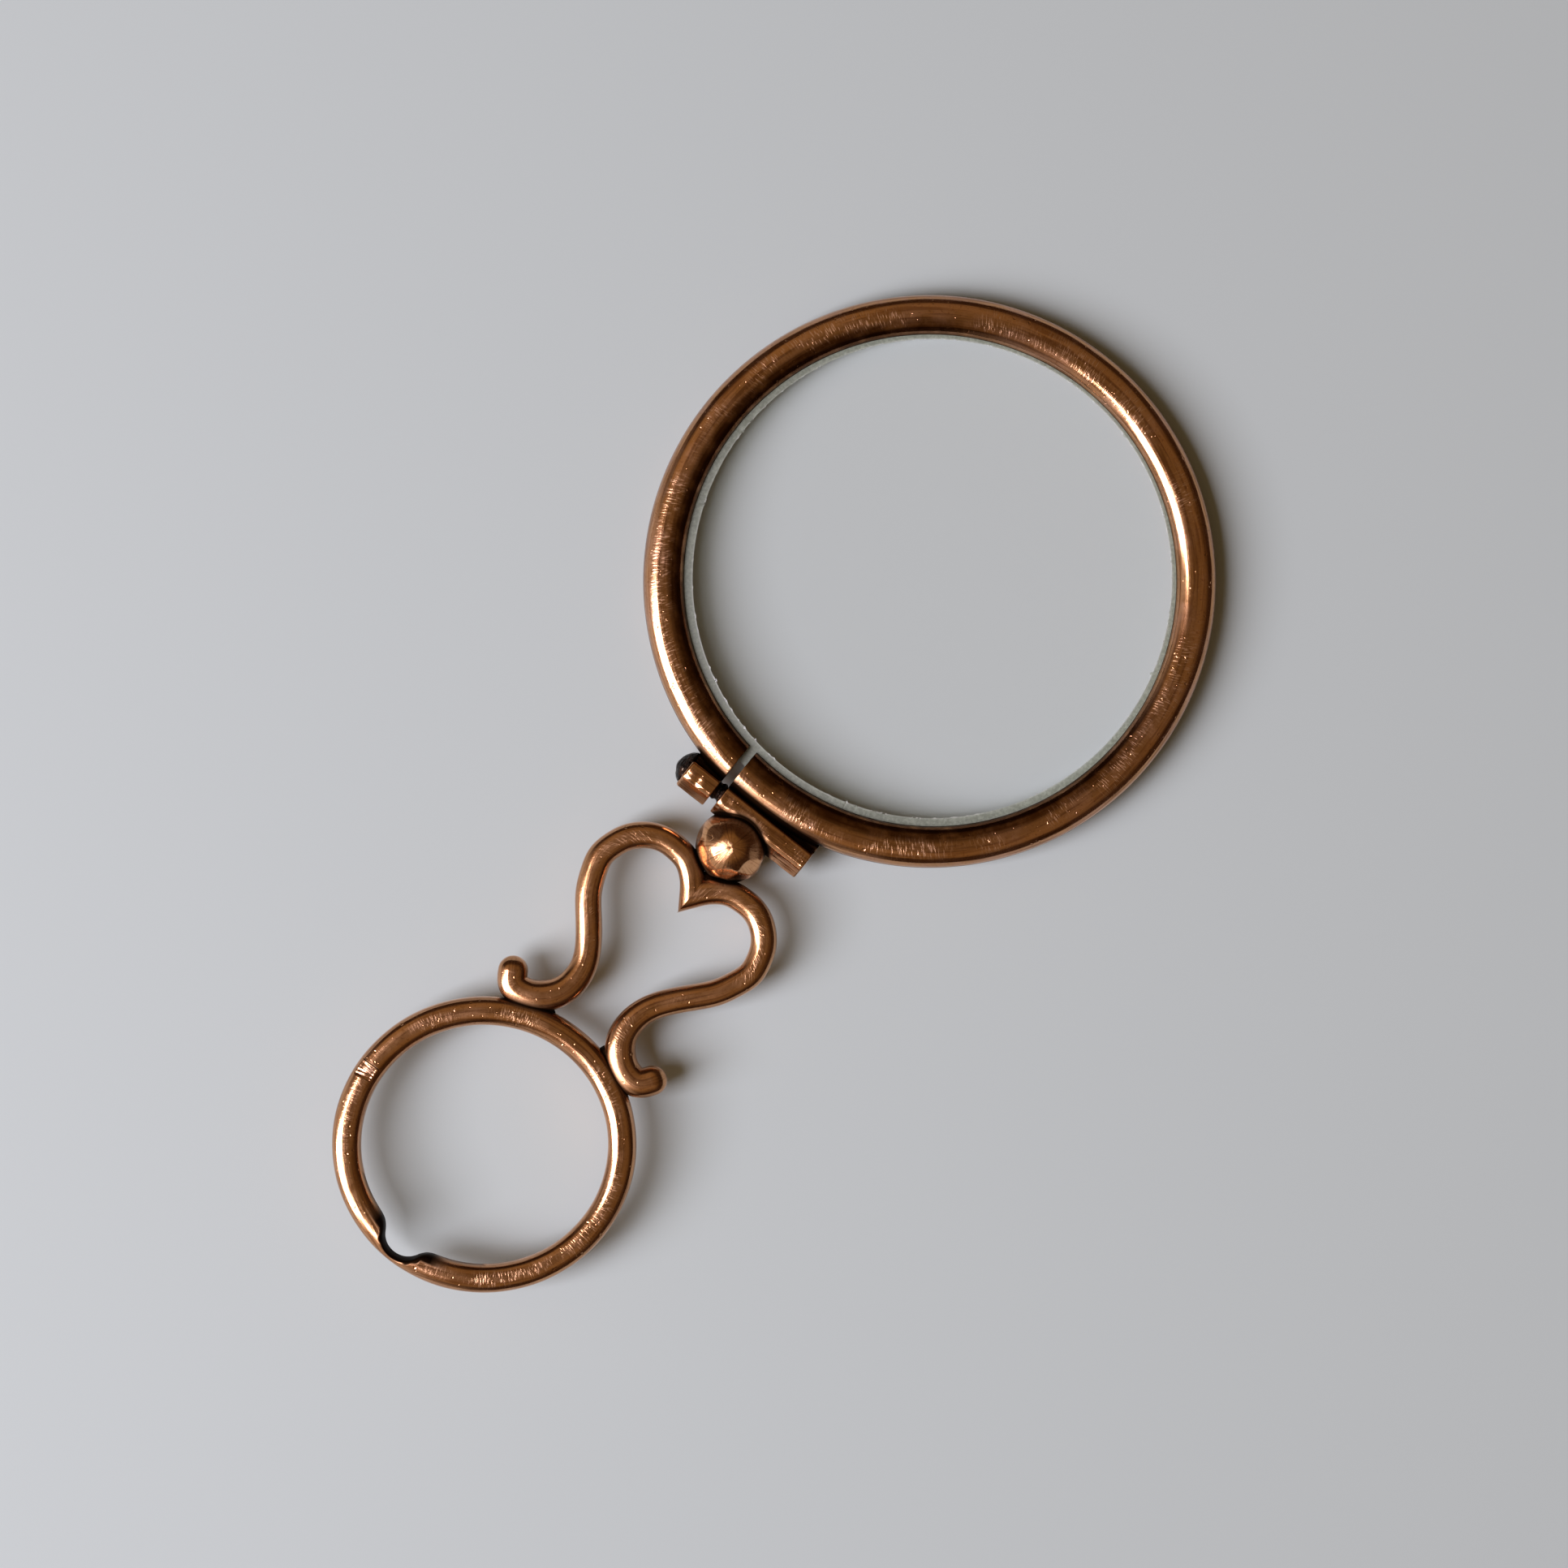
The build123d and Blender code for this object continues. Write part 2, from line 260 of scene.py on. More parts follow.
def spline(knots):
    """Natural cubic spline by chord length: t runs in metres, and both ends run straight on."""
    t = np.concatenate([[0], np.cumsum(np.linalg.norm(np.diff(knots, axis=0), axis=1))])
    h = np.diff(t)
    slope = np.diff(knots, axis=0) / h[:, None]
    system = np.eye(len(t))
    inner = np.arange(1, len(t) - 1)
    system[inner, inner - 1] = h[:-1]
    system[inner, inner] = 2 * (h[:-1] + h[1:])
    system[inner, inner + 1] = h[1:]
    bend = np.zeros_like(knots)
    bend[1:-1] = 6 * np.diff(slope, axis=0)
    bend = np.linalg.solve(system, bend)

    def place(at):
        """Place and unit heading at each t."""
        inside = np.clip(at, 0, t[-1])
        k = np.clip(np.searchsorted(t, inside, side="right") - 1, 0, len(h) - 1)
        b = ((inside - t[k]) / h[k])[..., None]
        a, step = 1 - b, h[k][..., None]
        curve = ((a**3 - a) * bend[k] + (b**3 - b) * bend[k + 1]) * step**2 / 6
        point = a * knots[k] + b * knots[k + 1] + curve
        heading = slope[k] + ((1 - 3 * a**2) * bend[k] + (3 * b**2 - 1) * bend[k + 1]) * step / 6
        heading /= np.linalg.norm(heading, axis=-1, keepdims=True)
        return point + heading * (at - inside)[..., None], heading

    return place, t[-1]


left_line, left_length = spline(scroll_knots(-1))
right_line, right_length = spline(scroll_knots(1))
print("length of a scroll's wire in mm:", round(left_length / mm, 1))

# %% [markdown]
# ## Dirt and painted shade in the joints
# Two centuries of polish leave dark tarnish where a cloth can't reach: along the soldered
# joints. The same dark, spread about half a millimetre from each joint, also paints the
# shade that falls between the parts. It could be painted by hand, but each piece is simple
# enough for a distance formula, which says how dark a point is. The dark reaches widest
# round the ball, where it paints the shade in its crevices, except on the tube behind it.
# The scrolls meet in a mitre filed clean, and leave each other bright.

# %% Distances to the pieces
joint_reach, ball_joint_reach, tube_by_ball_reach = 0.42 * mm, 0.5 * mm, 0.3 * mm
line_samples = 160


def to_hoop(points, centre, path_radius, wire):
    """Distance to a flat hoop: hypot(hypot(x, y) - path radius, z) - wire."""
    x, y, z = np.moveaxis(points - centre, -1, 0)
    return np.hypot(np.hypot(x, y) - path_radius, z) - wire


def to_barrel(points, low, high):
    """Distance to a round bar along X between two corners of its box."""
    past = np.maximum(np.maximum(low.x - points[..., 0], points[..., 0] - high.x), 0)
    off = np.hypot(points[..., 1] - barrel_y, points[..., 2] - middle_z) - barrel_radius
    return np.hypot(past, np.maximum(off, 0))


def to_line(points, line, length, wire):
    """Distance to a bent wire: the least distance to many places on its line, less its radius."""
    places = line(np.linspace(0, length, line_samples))[0]
    flat = points.reshape(-1, 3)
    squares = (flat**2).sum(1)[:, None] + (places**2).sum(1) - 2 * flat @ places.T
    return np.sqrt(np.maximum(squares.min(axis=1), 0)).reshape(points.shape[:-1]) - wire


distance_to = {
    "lens_rim": lambda p: to_hoop(p, lens_centre, rim_path_radius, rim_wire),
    "thread_barrel": lambda p: to_barrel(p, long_low, long_high),
    "head_barrel": lambda p: to_barrel(p, short_low, short_high),
    "bead": lambda p: np.linalg.norm(p - bead_centre, axis=-1) - bead_radius,
    "left_scroll": lambda p: to_line(p, left_line, left_length, scroll_wire),
    "right_scroll": lambda p: to_line(p, right_line, right_length, scroll_wire),
    "suspension_ring": lambda p: to_hoop(p, ring_centre, ring_path_radius, ring_wire),
}
mitred_with = {"left_scroll": "right_scroll", "right_scroll": "left_scroll"}


def dirt_and_shade_reach(*pair):
    """How far the dark of the joint between a piece and another spreads on the first."""
    wider = tube_by_ball_reach if pair == ("thread_barrel", "bead") else ball_joint_reach
    return wider if "bead" in pair else joint_reach


# Painted shade and dirt together: the dark falls off with the distance to the other pieces.
def dirt_and_shade(points, name):
    """Near 1 in a joint and 0 away from it: the greatest bell of the distances to the other pieces."""
    return np.max([bell(np.maximum(distance(points), 0), dirt_and_shade_reach(name, other))
                   for other, distance in distance_to.items() if other not in (name, mitred_with.get(name))],
                  axis=0)


def facing_up(grid):
    """Between 0 and 1: |z| of the unit cross product of the grid's two slopes, 1 on the crown of a wire."""
    normal = np.cross(np.gradient(grid, axis=0), np.roll(grid, -1, axis=1) - np.roll(grid, 1, axis=1))
    return np.abs(normal[..., 2]) / np.maximum(np.linalg.norm(normal, axis=-1), 1e-15)


print("pieces that leave dirt on others:", len(distance_to))

# %% [markdown]
# ## Materials with nodes
# A finish is built from a few kinds of node. Small helpers make a node, set its inputs and
# link those that are another node's output. Two more do what every finish needs: a sum of
# shares for roughness and height, and tints laid over each other for the colour.

# %% Node helpers
def node(tree, kind, inputs=(), **settings):
    """A node with its settings; inputs is a list of (socket, value or another socket)."""
    made = tree.nodes.new(kind)
    for key, value in settings.items():
        setattr(made, key, value)
    for key, value in inputs:
        if isinstance(value, bpy.types.NodeSocket):
            tree.links.new(value, made.inputs[key])
        else:
            made.inputs[key].default_value = value
    return made


def noise(tree, vector, scale, detail, roughness):
    """A noise value between 0 and 1, with about this many lumps to one unit of the vector."""
    made = node(tree, "ShaderNodeTexNoise", [("Vector", vector), ("Scale", scale), ("Detail", detail),
                                             ("Roughness", roughness)])
    return made.outputs["Fac"]


def stretched(tree, vector, scale, turn=0.0):
    """The coordinates scaled differently along each direction, which draws noise out into lines."""
    made = node(tree, "ShaderNodeMapping", [("Vector", vector), ("Scale", scale), ("Rotation", (0, 0, turn))])
    return made.outputs["Vector"]


def span(tree, value, low, high, to_low=0.0, to_high=1.0):
    """The value carried from low..high to another span and held there."""
    made = node(tree, "ShaderNodeMapRange", [("Value", value), ("From Min", low), ("From Max", high),
                                             ("To Min", to_low), ("To Max", to_high)])
    return made.outputs["Result"]


def calculate(tree, operation, first, second):
    """One arithmetic step on values."""
    return node(tree, "ShaderNodeMath", [(0, first), (1, second)], operation=operation).outputs[0]


def sum_of(tree, parts):
    """The sum of (value, share) parts, each value times its share."""
    scaled = [calculate(tree, "MULTIPLY", value, share) for value, share in parts]
    total = scaled[0]
    for part in scaled[1:]:
        total = calculate(tree, "ADD", total, part)
    return total


def blend_colour(tree, factor, first, second):
    """A colour between two, by a factor."""
    made = node(tree, "ShaderNodeMix", [("Factor", factor), (6, first), (7, second)], data_type="RGBA")
    return made.outputs[2]


def in_layers(tree, colour, layers):
    """A colour under (value, share, tint) layers: each tint covers it by the value times the share."""
    for value, share, tint in layers:
        colour = blend_colour(tree, calculate(tree, "MULTIPLY", value, share), colour, tint)
    return colour


def new_material(name, **values):
    """A material with nodes and its plain values set: the material, its tree and its shader."""
    material = bpy.data.materials.new(name)
    material.use_nodes = True
    shader = material.node_tree.nodes["Principled BSDF"]
    for key, value in values.items():
        shader.inputs[key.replace("_", " ")].default_value = value
    return material, material.node_tree, shader


def place_on(tree):
    """The object's own coordinates, in metres."""
    return node(tree, "ShaderNodeTexCoord").outputs["Object"]


def carried(tree, name):
    """A value that the mesh carries from point to point."""
    return node(tree, "ShaderNodeAttribute", attribute_name=name).outputs["Fac"]


def link_finish(tree, shader, colour, rough, height, strength, depth):
    """Colour and roughness into the shader, and the height as a bump of this strength and depth."""
    bump = node(tree, "ShaderNodeBump", [("Strength", strength), ("Distance", depth), ("Height", height)])
    for key, value in (("Base Color", colour), ("Roughness", rough), ("Normal", bump.outputs["Normal"])):
        tree.links.new(value, shader.inputs[key])


# %% [markdown]
# ## Rose metal
# Gold with much copper, or a copper alloy that passes for it. It could be one flat colour,
# but the real one shows its age: a pinkish bloom in patches, brown specks, brown streaks
# along the wire, bright scratches across it where it was rubbed, brown tarnish on the
# flanks, near black in the joints, and small pits. The flanks' tarnish also paints the dark
# reflection of the room, and the near black also paints shade in joints and hollows.
# Streaks and scratches follow the wire, so they use its own coordinates, in millimetres.
# The others use the object's, in metres, where a scale of 5200 is five lumps to a
# millimetre.

# %% Rose metal
def rose_metal():
    """Polished copper gold: tints in layers from fresh metal to the near black of the joints, partly painted
    shade.
    """
    material, tree, shader = new_material("rose_metal", Metallic=1.0)
    place, wire = place_on(tree), node(tree, "ShaderNodeUVMap", uv_map="wire").outputs["UV"]
    dark_dirt_and_shade, rub, satin, bloom, tarnish_and_shade = (
        carried(tree, name) for name in ("dirt_and_shade", "rub", "satin", "bloom", "tarnish_and_shade"))

    patches = calculate(tree, "MULTIPLY", span(tree, noise(tree, place, 420, 3, 0.6), 0.44, 0.64), bloom)
    specks = span(tree, noise(tree, place, 5200, 2, 0.6), 0.56, 0.72)
    pits = span(tree, noise(tree, place, 2600, 1, 0.5), 0.70, 0.78)
    broken = span(tree, noise(tree, place, 700, 3, 0.6), 0.3, 0.55, 0.7, 1.0)
    grain = noise(tree, stretched(tree, wire, (0.16, 3.2, 1.0)), 1.0, 3, 0.55)
    lines = noise(tree, stretched(tree, wire, (10.5, 1.7, 1.0), 0.12), 1.0, 0, 0.5)
    crossing = noise(tree, stretched(tree, wire, (9.0, 2.1, 1.0), -0.45), 1.0, 0, 0.5)
    scratch = span(tree, calculate(tree, "MAXIMUM", lines, crossing), 0.57, 0.74)
    scratch = calculate(tree, "MULTIPLY", scratch, rub)

    colour = in_layers(tree, (0.81, 0.425, 0.213, 1), [
        (patches, 1.0, (0.83, 0.465, 0.31, 1)),
        (specks, 0.45, (0.36, 0.13, 0.04, 1)),
        (span(tree, grain, 0.50, 0.62), 0.55, (0.28, 0.10, 0.03, 1)),
        (scratch, 0.5, (0.84, 0.54, 0.38, 1)),
        # Painted shade and dark reflection: the tarnish tint, on flanks and on the rim's inner slope.
        (calculate(tree, "MULTIPLY", tarnish_and_shade, broken), 1.0, (0.07, 0.021, 0.005, 1)),
        # Painted shade and dirt: the near black of joints, notch, seam, solder and the tubes' rim side.
        (span(tree, dark_dirt_and_shade, 0.1, 0.85), 1.0, (0.016, 0.007, 0.003, 1)),
    ])
    polish = span(tree, noise(tree, place, 900, 3, 0.6), 0.35, 0.7, 0.11, 0.17)
    rough = sum_of(tree, [(polish, 1.0), (patches, 0.06), (satin, 0.12), (scratch, 0.16), (dark_dirt_and_shade, 0.45)])
    ripple = noise(tree, place, 1300, 2, 0.5)
    height = sum_of(tree, [(ripple, 0.3), (grain, 1.0), (scratch, -0.25), (pits, -1.0)])
    link_finish(tree, shader, colour, rough, height, 0.8, 0.02 * mm)
    return material


metal = rose_metal()
print(metal.name, "has", len(metal.node_tree.nodes), "nodes")

# %% [markdown]
# ## Dark steel
# The screw is iron or steel gone almost black, with brown rust in its pits. Plain black
# would look like rubber: it stays a metal, rough and broken, with a few bright grains.

# %% Dark steel
def dark_steel():
    """Blackened steel with rusty pits."""
    material, tree, shader = new_material("dark_steel", Metallic=1.0)
    place = place_on(tree)
    rust = span(tree, noise(tree, place, 1700, 4, 0.65), 0.5, 0.68)
    pits = span(tree, noise(tree, place, 3000, 3, 0.6), 0.4, 0.65)
    bright = span(tree, noise(tree, place, 4300, 2, 0.5), 0.66, 0.74)
    colour = in_layers(tree, (0.018, 0.012, 0.009, 1), [
        (rust, 1.0, (0.065, 0.030, 0.016, 1)), (bright, 1.0, (0.36, 0.28, 0.22, 1))])
    link_finish(tree, shader, colour, span(tree, rust, 0, 1, 0.3, 0.55), pits, 1.0, 0.06 * mm)
    return material


steel = dark_steel()
print(steel.name, "has", len(steel.node_tree.nodes), "nodes")

# %% [markdown]
# ## Glass
# The lens is one piece of glass with two finishes: polished faces with a few hairlines, and
# a bevel ground with grit, which scatters light and looks greyish green. Real glass bends
# lamp light on its way to the table, which a path tracer takes very long to find, so a ray
# that asks for a lamp passes as if through a clear film. Light that meets the inside of a
# domed lens at a low angle bounces many times and ends as black, so a ray already inside
# the polished glass leaves it the same way.

# %% Polished and ground glass
glass_index = 1.52


def let_light_through(tree, shader, share, let_out=False):
    """A clear film for a ray that looks for a lamp, and for one already inside if let_out is true."""
    ray = node(tree, "ShaderNodeLightPath").outputs
    tint = blend_colour(tree, ray["Is Shadow Ray"], (1.0, 1.0, 1.0, 1), share)
    film = node(tree, "ShaderNodeBsdfTransparent", [("Color", tint)])
    passes = ray["Is Shadow Ray"]
    if let_out:
        inside = calculate(tree, "GREATER_THAN", ray["Ray Depth"], 0.5)
        passes = calculate(tree, "MAXIMUM", passes, inside)
    both = node(tree, "ShaderNodeMixShader",
                [(0, passes), (1, shader.outputs["BSDF"]), (2, film.outputs["BSDF"])])
    tree.links.new(both.outputs["Shader"], tree.nodes["Material Output"].inputs["Surface"])


def polished_glass():
    """Old clear glass with hairline scratches and a trace of green."""
    material, tree, shader = new_material(
        "polished_glass", Base_Color=(0.996, 1.0, 1.0, 1), IOR=glass_index, Transmission_Weight=1.0)
    place = place_on(tree)
    hairs = noise(tree, stretched(tree, place, (2600, 90, 200), 0.5), 1.0, 2, 0.5)
    others = noise(tree, stretched(tree, place, (110, 2300, 200), 0.2), 1.0, 2, 0.5)
    hairs = span(tree, calculate(tree, "MAXIMUM", hairs, others), 0.74, 0.80)
    tree.links.new(span(tree, hairs, 0, 1, 0.0, 0.22), shader.inputs["Roughness"])
    let_light_through(tree, shader, (1.0, 1.0, 1.0, 1), let_out=True)
    return material


def ground_glass():
    """The bevel as the grit left it: rough, greyish, half clear, with broken chips painted bright, partly as
    painted glints.
    """
    material, tree, shader = new_material("ground_glass", IOR=glass_index, Transmission_Weight=0.55)
    place, chipped_and_glint = place_on(tree), carried(tree, "chipped_and_glint")
    grit = noise(tree, place, 4200, 3, 0.6)
    colour = blend_colour(tree, span(tree, grit, 0.4, 0.7), (0.32, 0.35, 0.28, 1), (0.55, 0.59, 0.49, 1))
    # Painted glint as well as broken glass: the chips and the bevel's inner line are near white.
    colour = blend_colour(tree, chipped_and_glint, colour, (0.95, 0.96, 0.92, 1))
    rough = sum_of(tree, [(span(tree, grit, 0.3, 0.7, 0.45, 0.7), 1.0), (chipped_and_glint, -0.4)])
    facets = calculate(tree, "MULTIPLY", chipped_and_glint, noise(tree, place, 7000, 1, 0.5))
    height = sum_of(tree, [(grit, 1.0), (facets, 9.0)])
    link_finish(tree, shader, colour, rough, height, 0.6, 0.01 * mm)
    let_light_through(tree, shader, (0.4, 0.4, 0.38, 1))
    return material


clear, ground = polished_glass(), ground_glass()
print("materials:", [material.name for material in bpy.data.materials])

# %% [markdown]
# ## The rim
# A round wire, grooved inside for the lens, bent into a hoop and sawn through once. It is
# one profile, a circle with the groove let in, carried round from cut face to cut face. The
# cut is straight, so each point starts and ends where its own circle meets the saw's plane:
# cos(angle) = x / radius. At the cuts the edge is worn soft, and near them the wire was
# pinched thicker towards the glass.

# %% Profile of the rim's wire
cut_left, cut_right = short_high.x, long_low.x
bevel_width, shoulder_half, edge_half = 1.61 * mm, 0.75 * mm, 0.35 * mm
groove_gap, groove_depth_gap = 0.02 * mm, 0.1 * mm
groove_steps = 5


def rim_profile(count):
    """(outward, up) points of the wire: a circle from lip to lip, then the groove's walls and floor."""
    fall = (edge_half - shoulder_half) / bevel_width
    at_centre = shoulder_half + groove_gap + fall * (rim_path_radius - lens_radius + bevel_width)
    half_sum = at_centre * fall
    root = np.sqrt(half_sum**2 - (1 + fall**2) * (at_centre**2 - rim_wire**2))
    lip_out = (-half_sum - root) / (1 + fall**2)
    lip_up = at_centre + fall * lip_out
    floor_out = lens_radius + groove_depth_gap - rim_path_radius
    floor_up = edge_half + groove_gap
    lip_angle = np.arctan2(lip_up, lip_out)
    angles = np.linspace(lip_angle, -lip_angle, count)
    circle = rim_wire * joined(np.cos(angles), np.sin(angles))
    circle = circle * squared(*circle.T)[:, None]
    share = np.linspace(0, 1, groove_steps)[1:, None]
    lower = (1 - share) * (lip_out, -lip_up) + share * (floor_out, -floor_up)
    upper = (lower * (1, -1))[::-1]
    return circle, np.concatenate([lower, [(floor_out, 0)], upper])


print("width of the saw cut in mm:", round((cut_right - cut_left) / mm, 2))

# %% Surface of the rim
cut_angle = -np.pi / 2
pinch_depth, pinch_reach = 0.24 * mm, 0.75


def rim_grid(rows=1000, around=44, wear=0.03 * mm):
    """Rim points [row, column], rounded over the wear's width at both cut faces, and their two lengths."""
    circle, groove = rim_profile(around)
    outward, up = np.concatenate([circle, groove]).T
    on_circle = np.arange(len(outward)) < len(circle)
    radius = rim_path_radius + outward
    first = -np.arccos(cut_right / radius)
    last = 2 * np.pi - np.arccos(cut_left / radius)
    ends = np.array([0, 0.3, 1]) * wear / (2 * np.pi * rim_path_radius)
    step = np.concatenate([ends, np.linspace(2 * ends[2], 1 - 2 * ends[2], rows), 1 - ends[::-1]])
    angle = first + (last - first) * step[:, None]
    shrink = np.ones(len(step))
    shrink[:3] = shrink[-3:][::-1] = 1 - np.array([1.0, 0.5, 0.1]) * wear / rim_wire
    scale = np.where(on_circle, shrink[:, None], 1.0)
    pinch = pinch_depth * bell(angle_from(angle, cut_angle), pinch_reach)
    pinch = pinch * smoothstep(-outward, 0, 0.9 * rim_wire) * on_circle
    radius = rim_path_radius + outward * scale - pinch
    points = joined(radius * np.cos(angle), radius * np.sin(angle), up * scale)
    uneven = 0.012 * mm * waves(points, 5 * mm, 3) + 0.012 * mm * waves(points, 14 * mm, 4)
    points = points - heading_of(np.arctan2(up, outward), angle) * (uneven * on_circle)[..., None]
    turned = np.linspace(0, 2 * np.pi * rim_wire, len(outward) + 1)
    return points + lens_centre, angle[:, 0] * rim_path_radius, turned


# %% [markdown]
# ## How a metal piece is dressed
# Each piece could have its own copy of the material. They share one instead, and the mesh
# carries what differs from point to point: dirt with painted shade, rubbing, satin, bloom,
# and tarnish with painted shade. Crowns are rubbed most, and the steep flanks keep a brown
# tarnish, which also paints the dark reflection of the room on them. A stain is a dark that
# no joint explains, partly dirt and partly painted shade, such as the black of a worn notch.

# %% Dress a metal piece
def dress(name, grid, along, around, wrap_rows, body="glass", node_name=None, rub=0.6, stain_and_shade=0.0,
          satin=0.3, bloom=0.3, tarnish_and_shade=0.35, more_tarnish_and_shade=0.0):
    """A metal piece from its grid, with its finish, riding on its body in place of its solid."""
    dark_dirt_and_shade = np.maximum(dirt_and_shade(grid, node_name), stain_and_shade)
    facing = facing_up(grid)
    crown = smoothstep(facing, 0.84, 0.99)
    # Painted dark reflection as well as tarnish on the flanks.
    flank = smoothstep(facing, 0.85, 0.6) * smoothstep(facing, 0.1, 0.35)
    attributes = {"dirt_and_shade": dark_dirt_and_shade, "rub": rub * (0.1 + 0.9 * crown),
                  "tarnish_and_shade": np.maximum(tarnish_and_shade * flank, more_tarnish_and_shade),
                  "satin": np.full(dark_dirt_and_shade.shape, satin), "bloom": np.broadcast_to(bloom, dark_dirt_and_shade.shape)}
    piece = make_piece(name, grid, along, around, wrap_rows, attributes)
    piece.data.materials.append(metal)
    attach(piece, body)
    if node_name:
        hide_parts(node_name)


# %% [markdown]
# The rim's inner slope is painted dark brown almost all the way round: tarnish, and painted
# shade. It is left bright on one stretch about the angle below, the stretch that faces the
# soft box. Where the wire grips the glass a thin black line is painted: old polish, and the
# shade of the groove. Both follow from each point's place, so no mask has to be painted.

# %% Rim wire
lamp_side_angle, lamp_side_reach = np.radians(60.3), 0.96
seam_reach = 0.2 * mm


def to_lens(points):
    """Gap above the bevel: |z| less the glass's half height, which falls outwards in a straight line."""
    x, y, z = np.moveaxis(points - lens_centre, -1, 0)
    share = np.clip((lens_radius - np.hypot(x, y)) / bevel_width, 0, 1)
    return np.abs(z) - edge_half - share * (shoulder_half - edge_half)


points, along, around = rim_grid()
across, upright, _ = np.moveaxis(points - lens_centre, -1, 0)
inward = smoothstep((rim_path_radius - np.hypot(across, upright)) / rim_wire, 0.1, 0.38)
from_lamp_side = angle_from(np.arctan2(upright, across), lamp_side_angle)
dress("rim_wire", points, along, around, False, node_name="lens_rim",
      rub=0.9 * smoothstep(waves(points, 5 * mm, 21), 0.2, 0.7), satin=0.1, bloom=0.7,
      # Painted shade: a black line at the glass, and the inner slope darkened except towards the soft box.
      stain_and_shade=0.9 * bell(np.maximum(to_lens(points), 0), seam_reach),
      more_tarnish_and_shade=0.92 * inward * (1 - bell(from_lamp_side, lamp_side_reach, power=4)))

# %% [markdown]
# ## The lens
# Two shallow domes that meet a ground bevel, and a narrow edge. It could be a revolved
# line, but the real bevel was ground by hand: it sits a little off centre, and its inner
# line is chipped. That line is painted pale, paler where a chip bites deep: chipped glass,
# and a painted glint. So the rings of the grid glide from the lens's centre to that shifted,
# nibbled circle, and the height of each point still comes from the dome:
# z = top - R + sqrt(R^2 - r^2).

# %% Surface of the lens
bevel_radius = lens_radius - bevel_width
dome_sag = lens_half - shoulder_half
dome_radius = (bevel_radius**2 + dome_sag**2) / (2 * dome_sag)
bevel_shift = np.array([0.033, 0.283]) * mm
bevel_steps = np.array([0, 0.07, 0.3, 0.65, 1])[:, None]
chip_count, chip_depth = 150, 0.045 * mm
# The bevel's inner line is painted pale, more so at deep chips: partly a painted glint.
line_brightness, bright_chip_depth = 0.25, 0.06 * mm
deep_chip_angle, deep_chip_reach, deep_chip_depth = np.radians(294.3), 0.009, 0.16 * mm


def chips(angle, seed):
    """Inward nibbles of the bevel's line: a sum of narrow bells at random places, and one deep one."""
    draw = np.random.default_rng(seed)
    where = draw.uniform(0, 2 * np.pi, chip_count)
    width = draw.uniform(0.002, 0.010, chip_count)
    depth = draw.exponential(chip_depth, chip_count)
    nibbles = (depth * bell(angle_from(angle[:, None], where), width)).sum(axis=1)
    return nibbles + deep_chip_depth * bell(angle - deep_chip_angle, deep_chip_reach)


def lens_grid(columns=2000, dome_rings=10):
    """Lens points [ring, angle] from the top's middle to the bottom's, and how pale the bevel's nibbled line
    is painted, partly as a glint.
    """
    angle = np.linspace(0, 2 * np.pi, columns, endpoint=False)
    heading = joined(np.cos(angle), np.sin(angle))
    halves, bites = [], []
    for seed, up in ((5, 1.0), (6, -1.0)):
        bite = chips(angle, seed)
        line = bevel_shift + heading * (bevel_radius - bite)[:, None]
        dome = np.linspace(0, 1, dome_rings)[:, None, None] * line
        outer = heading * lens_radius
        flat = np.concatenate([dome, line + bevel_steps[..., None] * (outer - line)])
        radius = np.linalg.norm(flat, axis=-1)
        height = lens_half - dome_radius + np.sqrt(dome_radius**2 - radius**2)
        height[dome_rings:] = (1 - bevel_steps) * height[dome_rings] + bevel_steps * edge_half
        halves.append(np.concatenate([flat, up * height[..., None]], axis=-1))
        on_line = np.arange(len(flat)) - dome_rings
        bright = np.clip(line_brightness + bite / bright_chip_depth, 0, 1)
        bites.append(((on_line >= -1) & (on_line <= 0))[:, None] * bright)
    return (np.concatenate([halves[0], halves[1][::-1]]) + lens_centre,
            np.concatenate([bites[0], bites[1][::-1]]))


print("radius of the lens's domes in mm:", round(dome_radius / mm, 1))

# %% Lens
points, chipped_and_glint = lens_grid()
rings, columns = points.shape[:2]
lens = make_piece("lens_glass", points, np.arange(rings) * mm, np.linspace(0, 1, columns + 1) * mm,
                  False, {"chipped_and_glint": chipped_and_glint}, crease=4, weld=1e-7)
for material in (clear, ground):
    lens.data.materials.append(material)
middle = np.zeros(len(lens.data.polygons) * 3)
lens.data.polygons.foreach_get("center", middle)
off_axis = middle.reshape(-1, 3)[:, :2] - lens_centre[:2] - bevel_shift
on_bevel = np.linalg.norm(off_axis, axis=1) > bevel_radius
lens.data.polygons.foreach_set("material_index", on_bevel.astype(int))
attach(lens, "glass")
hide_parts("lens")

# %% [markdown]
# ## The two tubes
# Thick tubes, soldered under the rim either side of its cut. A tube is a small closed
# outline, turned about the tube's axis. A cylinder with a hole would be too neat: files
# left two long flats, on the crown and low on the handle's side, and pliers left dents,
# which are smooth dips. The side towards the rim is filed away, so the rim's wire stands
# free of it, and it is painted darker towards the rim: stained, because nothing polishes it
# there, and painted shade under the rim.

# %% Surface of a tube
bore_radius, bore_edge = 0.8 * mm, 0.03 * mm
rim_side_depth, rim_side_angle, rim_side_reach = 0.5 * mm, np.radians(36), 0.11
filed_flats = ((89, 0.93), (148, 0.90))  # angle in degrees, distance as a share of the radius
flat_softness = 0.008


